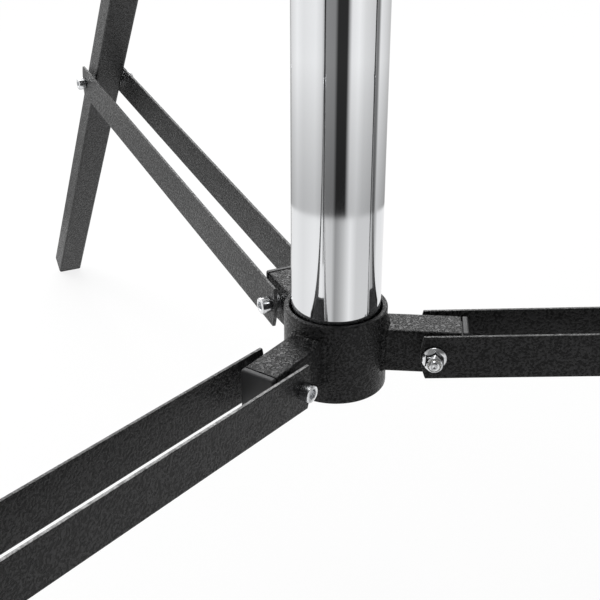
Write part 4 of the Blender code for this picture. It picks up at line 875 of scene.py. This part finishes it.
def makeKnob(name, node, place, reach, radius, lobes=3, lobeDepth=0.25):
    # reach is from the screw's tip to the end of the boss that it goes through.
    n, depth, thick = knobs["steps"], knobs["depth"], knobs["screw"]
    shank = reach + knobs["clear"]
    thread, height = [(thick - 0.0005, 0)], knobs["pitch"] / 2
    while height < shank - 0.001:
        thread += [(thick, height), (thick - knobs["thread"], height + knobs["pitch"] / 2)]
        height += knobs["pitch"]
    thread += [(thick, height), (thick, shank + 0.002)]

    def lobed(z, scale):
        made = []
        for i in range(n):
            angle = 2 * math.pi * i / n
            out = scale * radius * (1 - lobeDepth * (0.5 - 0.5 * math.cos(lobes * angle)))
            made.append(Vector((out * math.cos(angle), out * math.sin(angle), shank + z * depth)))
        return made

    neck = thick * 1.8
    base = [ring(shank, neck - 0.0006, n), ring(shank + 0.0006, neck, n), ring(shank + depth * 0.26, neck, n),
            ring(shank + depth * 0.29, neck + 0.0004, n)]
    head = drawn(skin, base + [lobed(z, scale) for z, scale in knobs["profile"]])
    addPiece(name, head, "blackPlastic", node, [node], place)
    addPiece(name + "Screw", drawn(lathe, thread, 24), "zinc", node, [], place)


clampTip = tubes["mast"] + gap
makeKnob("clampKnob", "clamp_knob", sidePlace @ at(clampTip, 0, collarPivot) @ outward,
         collar["outer"] + collar["bossLength"] - clampTip, knobs["clamp"])
print("collar done")

# Winch frame on the mast, drawn from the middle of its drum's height
winch = {
    "plateFace": 0.0253, "plate": 0.004, "plateCorner": 0.006, "side": 0.003, "inside": 0.032,
    "sideDepth": 0.084, "width": 0.078, "over": 0.028, "below": 0.068, "above": 0.042, "corner": 0.020,
    "edge": 0.0005, "drumX": 0.0699, "shaft": 0.006, "shaftHead": 0.0066, "shaftFlats": 0.018,
    "gearDistance": 0.048,
    "ubolt": 0.004, "uboltEnd": 0.0105, "nutFlats": 0.0118, "nut": (0.0012, 0.0067), "washer": 0.0068,
    "ratchetY": 0.039, "pawlX": 0.0520, "pawlZ": -0.015335, "pawlPin": 0.004,
    "bead": {"Size": 0.0024, "Ripple": 0.0022}, "beads": ((-0.062, -0.040), (-0.012, 0.010), (0.020, 0.038)),
}


def makeWinchFrame():
    w = winch
    below, above, corner, face = w["below"], w["above"], w["corner"], w["plateFace"] + w["plate"]
    wide, low, high = w["width"] / 2, -below - w["over"], above + w["over"]
    bend = tubes["mast"] + w["ubolt"] + gap
    boltHeights = (-below - w["over"] / 2, above + w["over"] / 2)
    holes = [circle(w["ubolt"] + gap, 24, y, z) for y in (-bend, bend) for z in boltHeights]
    start = w["plateFace"] + w["plate"] / 2
    back = fillet([(-wide, low), (wide, low), (wide, high), (-wide, high)], w["plateCorner"], 5)
    bm = drawn(plate, back, w["plate"], holes, at(start, 0, 0) @ turn(90, 'Z') @ upright)
    far = start + w["sideDepth"] - corner
    outline = ([(start, -below)] + arc(far, -below + corner, corner, -90, 0, 14)
               + arc(far, above - corner, corner, 0, 90, 14) + [(start, above)])
    shafts = [circle(w["shaft"] + gap, 32, w["drumX"], z) for z in (0, -w["gearDistance"])]
    for side in (1, -1):
        plate(bm, outline, w["side"], shafts, at(0, side * (w["inside"] + w["side"] / 2), 0) @ upright)
    addPiece("winchFrame", bm, "powderCoat", "mast", ["winch_frame"], winchPlace, w["edge"])

    bm, x, y, z = bmesh.new(), w["pawlX"], w["ratchetY"], w["pawlZ"]
    rod(bm, (x, w["inside"] + 0.001, z), (x, y + 0.0030, z), w["pawlPin"], 32, 0.0003)
    rod(bm, (x, y + 0.0026, z), (x, y + 0.0040, z), w["pawlPin"] * 1.45, 32, 0.0004)
    addPiece("pawlPin", bm, "zinc", "mast", [], winchPlace)

    out = w["inside"] + w["side"]
    paths = [[Vector((face, side * out, z)) for z in ends] for side in (1, -1) for ends in w["beads"]]
    addWeld("winchWelds", paths, "mast", winchPlace, w["bead"])

    # U-bolts round the mast, with plain nuts on washers
    bm = bmesh.new()
    rodRadius, straight, (seat, top), flats = w["ubolt"], face + gap, w["nut"], w["nutFlats"]
    path = [(straight + w["uboltEnd"], bend), (straight, bend)]
    path += [(-bend * math.sin(a), bend * math.cos(a)) for a in (math.pi * i / 32 for i in range(33))]
    path += [(straight, -bend), (straight + w["uboltEnd"], -bend)]
    for z in boltHeights:
        rings = []
        for x, y in path:
            side = Vector((0, 1 if y > 0 else -1, 0)) if x >= 0 else Vector((x, y, 0)).normalized()
            rings.append([Vector((x, y, z + up)) + side * over for over, up in circle(rodRadius, 20)])
        skin(bm, rings)
        for y in (-bend, bend):
            place = at(straight, y, z) @ outward
            sleeve(bm, rodRadius + 0.0001, w["washer"], 0, seat, 36, 0.0003, place)
            nut = [hexRing(height, flats, 36, most) for height, most in
                   ((seat, 0.0061), (seat + 0.0006, 1.0), (top - 0.0006, 1.0), (top, 0.0061))]
            nut += [ring(height, rodRadius + 0.0001, 36) for height in (top, seat)]
            skin(bm, [[place @ p for p in points] for points in nut], True)
    addPiece("winchUbolts", bm, "zinc", "mast", ["winch_ubolt_upper", "winch_ubolt_lower"], winchPlace)

    tall, flats, n = w["shaftHead"], w["shaftFlats"], 48
    head = [(tall, 0.0092), (tall - 0.0008, 1.0), (0.0002, 1.0)]
    out += gap
    rings = ([hexRing(-out - z, flats, n, most) for z, most in head]
             + [ring(-out, w["shaft"], n), ring(out, w["shaft"], n)]
             + [hexRing(out + z, flats, n, most) for z, most in head[::-1]])
    addPiece("drumShaft", drawn(skin, rings), "zinc", "mast", ["drum_shaft"],
             winchPlace @ at(w["drumX"], 0, 0) @ acrossArm)


makeWinchFrame()

# Drum, gears and crank
gears = {"module": 0.002, "pressure": 20.0, "teeth": 36, "pinionTeeth": 12, "thickness": 0.008,
         "backlash": 0.00035, "y": 0.0258, "holes": 6, "holeRadius": 0.0050, "holeRing": 0.0195,
         "ratchet": 0.020, "ratchetRoot": 0.84, "ratchetTeeth": 12, "ratchetThickness": 0.004}
drum = {"left": -0.0225, "inside": 0.038, "flange": 0.034, "thickness": 0.003, "core": 0.021, "edge": 0.0008}


def gearOutline(teeth, phase):
    # Involute flanks.
    pitch, module, pressure = gears["module"] * teeth / 2, gears["module"], math.radians(gears["pressure"])
    base = pitch * math.cos(pressure)
    tip, root = pitch + 0.8 * module, pitch - 1.1 * module

    def halfAngle(radius):
        lean = math.acos(base / max(radius, base))
        rolled = math.tan(lean) - lean
        atPitch = math.tan(pressure) - pressure
        return math.pi / (2 * teeth) + atPitch - rolled - gears["backlash"] / (2 * pitch)

    start = max(base, root)
    flank = ([root] if base > root + 0.0002 else []) + [start + (tip - start) * i / 5 for i in range(6)]
    outline = []
    for tooth in range(teeth):
        centre = math.radians(phase) + 2 * math.pi * tooth / teeth
        points = [(r, -halfAngle(r)) for r in flank] + [(r, halfAngle(r)) for r in flank[::-1]]
        outline += [(r * math.cos(centre + a), r * math.sin(centre + a)) for r, a in points]
    return outline


def ratchetOutline():
    outline = []
    teeth, tip = gears["ratchetTeeth"], gears["ratchet"]
    root = tip * gears["ratchetRoot"]
    for tooth in range(teeth):
        for share in (0.0, 0.35, 0.7, 1.0):
            reach, along = root + (tip - root) * share, 2 * math.pi * (tooth + share) / teeth
            outline.append((reach * math.cos(along), reach * math.sin(along)))
    return outline


def makeDrum():
    bore, core, flange, t = winch["shaft"] + gap, drum["core"], drum["flange"], drum["thickness"]
    length = drum["inside"] + 2 * t
    profile = [(bore, 0), (flange, 0), (flange, t), (core, t), (core, length - t), (flange, length - t),
               (flange, length), (bore, length)]
    addPiece("drum", drawn(lathe, fillet(profile, drum["edge"], 4), 96, True), "zinc", "drum", ["drum"],
             winchPlace @ at(winch["drumX"], drum["left"], 0) @ acrossArm)
    holes = [circle(gears["holeRadius"], 28, x, y) for x, y in circle(gears["holeRing"], gears["holes"])]
    bm = drawn(plate, gearOutline(gears["teeth"], -90 + 180 / gears["teeth"]), gears["thickness"],
               [circle(bore, 32)] + holes, at(winch["drumX"], gears["y"], 0) @ upright)
    addPiece("drumGear", bm, "steel", "drum", ["drum_gear"], winchPlace, 0.0003)


makeDrum()

crank = {
    "standoff": 0.015, "thickness": 0.005, "length": 0.170, "width": 0.022, "seat": 0.005, "edge": 0.0009,
    "nut": 0.007, "nutFlats": 0.0150, "grip": 0.014, "gripLength": 0.092, "grooves": 14, "groove": 0.0005,
    "pin": 0.005, "pawlLength": 0.026, "pawlEye": 0.0065, "pawlNose": 0.003, "pawlHeading": 157.0,
    # (share of the grip's length, share of its radius)
    "waist": ((0.0, 0.66), (0.015, 0.72), (0.06, 0.80), (0.12, 0.88), (0.22, 0.96), (0.35, 1.0), (0.50, 0.96),
              (0.70, 0.90), (0.82, 0.95), (0.92, 1.0), (0.96, 0.97), (0.985, 0.88), (1.0, 0.78)),
}


def makeCrank():
    c, shaft, n, flats = crank, winch["shaft"], 48, crank["nutFlats"]
    out = winch["inside"] + winch["side"]
    near = out + c["standoff"]
    far = near + c["thickness"]
    place = winchPlace @ at(winch["drumX"], 0, -winch["gearDistance"])
    rings = [ring(-out - 0.003, shaft - 0.0006, n), ring(-out - 0.0024, shaft, n),
             ring(near - gap, shaft, n), ring(near - gap, c["seat"], n), ring(far + gap, c["seat"], n),
             hexRing(far + gap, flats, n, 0.0082), hexRing(far + 0.0009, flats, n),
             hexRing(far + 0.0060, flats, n), hexRing(far + c["nut"], flats, n, 0.0076)]
    bm = drawn(skin, [[acrossArm @ p for p in points] for points in rings])
    plate(bm, gearOutline(gears["pinionTeeth"], 90), gears["thickness"] + 0.003, (),
          at(0, gears["y"], 0) @ upright)
    plate(bm, ratchetOutline(), gears["ratchetThickness"], (), at(0, winch["ratchetY"], 0) @ upright)
    addPiece("pinionShaft", bm, "steel", "crank", ["pinion_shaft"], place, 0.00025)

    bm = drawn(plate, slotOutline(c["length"], c["width"] / 2, c["width"] / 2, 24), c["thickness"],
               [circle(c["seat"] + gap, 32)], at(0, (near + far) / 2, 0) @ outward @ upright)
    addPiece("crankArm", bm, "zinc", "crank", ["crank_arm"], place, c["edge"])
    gripNear, pin = far + gap, c["pin"]
    gripFar = gripNear + c["gripLength"]
    profile = [(pin * 1.3, near - 0.0012), (pin * 1.3, near), (pin, near), (pin, gripFar + gap),
               (pin * 1.6, gripFar + gap), (pin * 1.6, gripFar + 0.0022), (pin * 1.3, gripFar + 0.003)]
    gripPlace = place @ at(0, 0, -c["length"]) @ acrossArm
    addPiece("gripPin", drawn(lathe, profile, 48), "zinc", "crank", [], gripPlace)

    # A waisted grip with shallow rings to hold on to
    r, long, waist = c["grip"], c["gripLength"], c["waist"]
    outer = []
    for (a, ra), (b, rb) in zip(waist, waist[1:]):
        for k in range(6):
            share, reach = a + (b - a) * k / 6, r * (ra + (rb - ra) * k / 6)
            wave = max(0.0, math.cos(share * 2 * math.pi * c["grooves"])) if 0.28 < share < 0.86 else 0.0
            outer.append((reach - c["groove"] * wave, gripNear + long * share))
    profile = [(pin + gap, gripNear)] + outer + [(r * waist[-1][1], gripFar), (pin + gap, gripFar)]
    addPiece("crankGrip", drawn(lathe, profile, 64, True), "blackPlastic", "crank_grip", ["crank_grip"],
             gripPlace)

    place = at(winch["pawlX"], winch["ratchetY"], winch["pawlZ"]) @ turn(180 - c["pawlHeading"], 'Y')
    bm = drawn(plate, slotOutline(c["pawlLength"], c["pawlEye"], c["pawlNose"], 18),
               gears["ratchetThickness"], [circle(winch["pawlPin"] + gap, 32)], place @ upright)
    addPiece("pawl", bm, "steel", "pawl", ["pawl"], winchPlace, winch["edge"])


makeCrank()
print("winch done")

# Ropes, and the pulleys that they run over
ropes = {"winch": 0.003, "winchLay": 0.020, "lift": 0.0025, "liftLay": 0.017, "pitch": 0.0035, "turns": 5,
         "winding": 0.0228, "anchor": 0.018, "headPulley": 0.018, "aboveMast": 0.0045,
         "sectionPulley": 0.012, "aboveFirst": 0.00325, "pulleyThickness": 0.0075, "pin": 0.0035,
         "pinHead": 0.0062, "pinHeadHeight": 0.0022}
winchRopeX, liftRopeX = ((tubes[outside] - tubes["wall"] + tubes[inside]) / 2
                         for outside, inside in (("mast", "first"), ("first", "second")))
headPulleyX = winchRopeX + ropes["headPulley"]
headPulleyZ = mastTop + ropes["headPulley"] + ropes["aboveMast"]
sectionPulleyX = liftRopeX + ropes["sectionPulley"]
sectionPulleyZ = firstTop + ropes["sectionPulley"] + ropes["aboveFirst"]

# Lifting heads
heads = {"wall": 0.006, "cheek": 0.0042, "play": 0.0014, "corner": 0.008, "under": 0.008, "slope": 0.35,
         "edge": 0.0006, "steps": 96, "boss": 0.009, "bossLength": 0.010, "bossAbove": 0.025, "screw": 0.0043,
         "pastHeadPulley": 0.006, "pastSectionPulley": 0.005, "pastRope": 0.006, "earHalf": 0.006,
         "earHeight": 0.014}
spigot = {"socket": 0.0144, "outer": 0.0200, "floor": 0.006, "boss": 0.014, "knobAbove": 0.027, "lobes": 2,
          "lobeDepth": 0.55, "edge": 0.0009}


def makePulley(name, node, place, radius, rope):
    flange, groove, half = radius + rope / 2, radius - rope / 2 - gap, ropes["pulleyThickness"] / 2
    bore = ropes["pin"] + gap
    bottom = [(groove + rope * 0.12 * (1 - math.cos(a)), rope * 0.45 * math.sin(a))
              for a in (math.radians(-90 + 30 * i) for i in range(7))]
    cheek = [(bore, -half), (bore + 0.003, -half), (bore + 0.0034, 0.0006 - half),
             (flange - 0.003, 0.0006 - half), (flange - 0.0026, -half), (flange - 0.0003, -half),
             (flange, 0.0004 - half), (flange, 0.0008 - half)]
    profile = cheek + bottom + [(r, -z) for r, z in cheek[::-1]]
    addPiece(name, drawn(lathe, profile, 72, True), "zinc", node, [node], place)


def makeHead(name, node, body, tube, slider, top, pulley, pulleyX, pulleyZ, pulleyRadius, rope, beyond,
             ear=0.0, boss=0.0):
    # tube is the radius of the tube that carries the head, slider that of the one inside, and top the
    # carrying tube's end. The pulley hangs between two cheeks.
    h = heads
    low, high = heights(node)
    outer, lower, upper, step = tube + h["wall"], tube + gap, slider + gap, top + gap
    slot = ropes["pulleyThickness"] + h["play"]
    half = slot / 2 + h["cheek"]
    sign = 1 if pulleyX > 0 else -1
    far, corner = abs(pulleyX) + pulleyRadius + beyond, h["corner"]
    under, over = pulleyZ - pulleyRadius - h["under"], min(pulleyZ + pulleyRadius, high - 0.001)
    cheeks = ([(0.001, under - far * h["slope"]), (far - corner, under)]
              + arc(far - corner, under + corner, corner, -60, 0, 8)
              + arc(far - corner, over - corner, corner, 0, 90, 10) + [(0.001, over)])
    room = [(upper * 0.6, step - 0.002), (outer + 0.001, step - 0.002), (outer + 0.001, low),
            (far + 0.002, low), (far + 0.002, high + 0.002), (upper * 0.6, high + 0.002)]

    def tool(shape, *values):
        return newObject("tool", drawn(shape, *values), sidePlace)

    def wall(points, thickness):
        return tool(plate, [(sign * x, z) for x, z in points], thickness, (), upright, 0.0)

    head = newObject(name, drawn(lathe, [(outer, low), (outer, high)], h["steps"]), sidePlace)
    steps = [('UNION', wall(cheeks, 2 * half))]
    if ear:
        steps.append(('UNION', tool(block, (-ear, -h["earHalf"], high - h["earHeight"]),
                                    (0.003 - outer, h["earHalf"], high))))
    if boss:
        end = outer + h["bossLength"]
        steps.append(('UNION', tool(rod, (0, outer - 0.004, boss), (0, end, boss), h["boss"], 48)))
    bore = [(lower, low - 0.001), (lower, step), (upper, step), (upper, high + 0.001)]
    steps += [('DIFFERENCE', tool(lathe, bore, h["steps"])), ('DIFFERENCE', wall(room, slot))]
    if boss:
        steps.append(('DIFFERENCE', tool(rod, (0, upper - 0.002, boss), (0, outer + 0.02, boss), h["screw"])))
    carve(head, steps)
    complete(head, "powderCoat", body, [node], h["edge"])

    pin, cap, tall, out = ropes["pin"], ropes["pinHead"], ropes["pinHeadHeight"], half + 0.001
    end = [(cap - 0.0006, -out - tall), (cap, 0.0006 - out - tall), (cap, -out), (pin, -out)]
    place = sidePlace @ at(pulleyX, 0, pulleyZ) @ acrossArm
    addPiece(name + "Pin", drawn(lathe, end + [(r, -z) for r, z in end[::-1]], 36), "zinc", body, [], place)
    makePulley(*pulley, place, pulleyRadius, rope)


def makeHeads():
    mast, first, second = tubes["mast"], tubes["first"], tubes["second"]
    bossZ = mastTop + heads["bossAbove"]
    makeHead("mastHead", "mast_head", "mast", mast, first, mastTop, ("headPulley", "head_pulley"),
             headPulleyX, headPulleyZ, ropes["headPulley"], ropes["winch"], heads["pastHeadPulley"],
             sectionPulleyX + ropes["sectionPulley"] + heads["pastRope"], bossZ)
    makeHead("sectionHead", "section_head", "section_1", first, second, firstTop,
             ("sectionPulley", "section_pulley"), -sectionPulleyX, sectionPulleyZ, ropes["sectionPulley"],
             ropes["lift"], heads["pastSectionPulley"])
    tip = first + gap
    makeKnob("headKnob", "head_knob", sidePlace @ at(0, tip, bossZ) @ acrossArm,
             mast + heads["wall"] + heads["bossLength"] - tip, knobs["head"])

    # The socket that takes a light's spigot
    socket, outer, base = spigot["socket"], spigot["outer"], secondTop + gap
    low, high = heights("spigot_head")
    profile = [(second + gap, base), (second + gap, low), (outer, low), (outer, high), (socket, high),
               (socket, base + spigot["floor"])]
    knobZ = base + spigot["floor"] + spigot["knobAbove"]
    bm = drawn(lathe, fillet(profile, spigot["edge"], 4, False), heads["steps"])
    addPiece("spigotHead", bm, "powderCoat", "section_2", ["spigot_head"], sidePlace)
    bm = drawn(sleeve, heads["screw"], heads["boss"], 0.0006, spigot["boss"], 48, 0.0006,
               at(0, outer - 0.004, knobZ) @ acrossArm)
    addPiece("spigotBoss", bm, "powderCoat", "section_2", [], sidePlace)
    tip = socket + gap
    makeKnob("spigotKnob", "spigot_knob", sidePlace @ at(0, tip, knobZ) @ acrossArm,
             outer + heads["bossLength"] - tip, knobs["head"], spigot["lobes"], spigot["lobeDepth"])


makeHeads()
print("heads done")


def makeRopes():
    r, drumX = ropes, winch["drumX"]
    winding, pulley = r["winding"], r["headPulley"]
    across, up = headPulleyX - drumX, headPulleyZ - winchHeight
    leave = math.atan2(up, across) + math.pi / 2 - math.asin((winding + pulley) / math.hypot(across, up))
    coil = []
    for i in range(r["turns"] * 60 + 1):
        left = r["turns"] - i / 60
        angle = leave + 2 * math.pi * left
        coil.append(Vector((drumX + winding * math.cos(angle), -r["pitch"] * left,
                            winding * math.sin(angle))))
    wire = {"Diameter": r["winch"], "Lay": r["winchLay"], "Step": 0.0020}
    addRope("drumWinding", coil, "drum", "drum_winding", winchPlace, wire)

    start = Vector((drumX + winding * math.cos(leave), winchHeight + winding * math.sin(leave)))
    over = arc(headPulleyX, headPulleyZ, pulley, math.degrees(leave) - 180, 180, 28)
    start += (Vector(over[0]) - start).normalized() * 0.0006
    route = [tuple(start)] + over + [(winchRopeX, heights("section_1_tube")[0] + r["anchor"])]
    addRope("winchRope", [Vector((x, 0, z)) for x, z in route], "mast", "winch_rope", sidePlace,
            {**wire, "Step": 0.0025})

    wire = {"Diameter": r["lift"], "Lay": r["liftLay"], "Step": 0.0022}
    over = arc(-sectionPulleyX, sectionPulleyZ, r["sectionPulley"], 180, 0, 24)
    route = over + [(-liftRopeX, heights("section_2_tube")[0] + r["anchor"])]
    addRope("liftRopeInner", [Vector((x, 0, z)) for x, z in route], "section_1", "lift_rope_inner",
            sidePlace, wire)
    x = -sectionPulleyX - r["sectionPulley"]
    low, high = heights("lift_rope_outer")
    path = [Vector((x, 0, low + (high - low) * i / 20)) for i in range(21)]
    outerRope = addRope("liftRopeOuter", path, None, "lift_rope_outer", sidePlace, wire)
    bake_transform(outerRope)


makeRopes()
print("ropes done")

# Floor, world and lamps. What the chrome sees of the room goes by the direction from the mast:
# 0 degrees is towards the camera, and 90 is the right.
stage = {
    "floor": 16.0, "white": 0.85, "paint": 0.95, "clearFrom": 0.9, "clearTo": 2.0, "stripesUpTo": 0.35,
    "table": 0.785, "farRoom": 1.45,
    "tableView": ((-180, 0.85), (-120, 0.93), (-93, 0.86), (-58, 0.95), (-38, 0.92), (-28, 0.68),
                  (-14, 0.62), (-6, 0.34), (2, 0.42), (14, 0.60), (30, 0.92), (47, 0.70), (84, 0.70),
                  (92, 0.40), (100, 0.40), (112, 0.90), (180, 0.92)),
    "roomView": ((-180, 0.60), (-150, 0.75), (-116, 1.0), (-93, 0.90), (-58, 0.97), (-43, 0.80),
                 (-34, 0.28), (-13, 0.26), (-6, 0.03), (15, 0.03), (25, 0.90), (42, 1.0), (58, 0.81),
                 (84, 0.70), (91, 0.22), (97, 0.22), (104, 0.90), (150, 0.60)),
    "roomNear": 0.60, "skyLow": 0.90, "skyHigh": 0.55, "skyHighFrom": 0.6, "fill": 0.70,
    "brightSide": (-0.5, 0.85), "brightFrom": 0.75, "darkSide": 0.20,
}


def clearShader(made):
    made.use_nodes = True
    made.node_tree.nodes.clear()
    start = Value(made.node_tree)
    return start, start.node("ShaderNodeLightPath", out="Is Camera Ray")


def seenRoom(x, y, name):
    # Light and dark parts of the room by direction.
    stops = [(angle / 360 + 0.5, level) for angle, level in stage[name]]
    heading = x.math('ARCTAN2', x, y * -1) / (2 * math.pi) + 0.5
    return x.node("ShaderNodeValToRGB", {"stops": stops}, {0: heading})


def makeFloor():
    bm = bmesh.new()
    half = stage["floor"] / 2
    corners = ((-half, -half), (half, -half), (half, half), (-half, half))
    bm.faces.new([bm.verts.new((x, y, 0)) for x, y in corners])
    floor = newObject("floor", bm, Matrix())
    finish = bpy.data.materials.new("floorPaint")
    start, ray = clearShader(finish)
    fromMast = start.node("ShaderNodeTexCoord", out="Object").vector('SUBTRACT', {1: tuple(mastAxis)})
    x = start.node("ShaderNodeSeparateXYZ", None, {"Vector": fromMast})
    distance = fromMast.vector('LENGTH', {}, "Value")
    table, room = (seenRoom(x, x.sibling("Y"), name) for name in ("tableView", "roomView"))
    edge = stage["table"]
    beyond = distance.remap(edge - 0.01, edge + 0.01, 0.0, 1.0, 'SMOOTHSTEP')
    room *= distance.remap(edge, stage["farRoom"], stage["roomNear"], 1.0)
    seen = table * (1 - beyond) + room * beyond
    clear = distance.remap(stage["clearFrom"], stage["clearTo"], stage["white"], 1.0, 'SMOOTHSTEP')
    white, paint = (1, 1, 1, 1), stage["paint"]
    matt = start.node("ShaderNodeBsdfDiffuse", None, {"Color": (paint, paint, paint, 1)})
    plain, mirrored = (start.node("ShaderNodeEmission", None, {"Color": white, "Strength": strength})
                       for strength in (1.0, seen))
    forCamera = start.node("ShaderNodeMixShader", None, {0: ray * clear, 1: matt, 2: plain})
    final = start.node("ShaderNodeMixShader", None,
                       {0: ray.sibling("Is Glossy Ray"), 1: forCamera, 2: mirrored})
    start.feed(finish.node_tree.nodes.new("ShaderNodeOutputMaterial"), {"Surface": final})
    floor.data.materials.append(finish)


def makeWorld():
    # White to the camera; for the object, brighter behind and on the left.
    world = bpy.data.worlds.new("studio")
    bpy.context.scene.world = world
    start, ray = clearShader(world)
    way = start.node("ShaderNodeTexCoord", out="Generated")
    x = start.node("ShaderNodeSeparateXYZ", None, {"Vector": way})
    y, z = x.sibling("Y"), x.sibling("Z")
    (brightX, brightY), bright = stage["brightSide"], stage["brightFrom"]
    room = (x * brightX + y * brightY).remap(-bright, bright, stage["darkSide"], 1.0)
    sky = z.remap(0.0, stage["skyHighFrom"], stage["skyLow"], stage["skyHigh"]) * room
    low = z.remap(0.0, stage["stripesUpTo"], 1.0, 0.0, 'SMOOTHSTEP')
    sky = seenRoom(x, y, "roomView") * low + sky * (1 - low)
    mirror = ray.sibling("Is Glossy Ray")
    strength = ray + (1 - ray) * (mirror * sky + (1 - mirror) * room * stage["fill"])
    light = start.node("ShaderNodeBackground", None, {"Color": (1, 1, 1, 1), "Strength": strength})
    start.feed(world.node_tree.nodes.new("ShaderNodeOutputWorld"), {"Surface": light})


lamps = {
    "backSoftbox": {"location": (-0.3, 2.6, 1.9), "size": (2.6, 1.4), "power": 42.0},
    "topSoftbox": {"location": (-0.5, 0.2, 3.2), "size": (1.6, 1.6), "power": 30.0},
    "leftSoftbox": {"location": (-1.5, 1.0, 0.9), "size": (0.9, 0.9), "power": 9.5},
}


def addLamp(name, location, size, power):
    data = bpy.data.lights.new(name, 'AREA')
    data.shape, data.energy = 'RECTANGLE', power
    data.size, data.size_y = size
    lamp = linked(name, data)
    lamp.location = location
    target = mastAxis + Vector((0, 0, hubHigh))
    lamp.rotation_euler = (target - Vector(location)).to_track_quat('-Z', 'Y').to_euler()


makeFloor()
makeWorld()
for name, values in lamps.items():
    addLamp(name, **values)
bpy.context.scene.view_settings.view_transform = 'Standard'
print("stage done")
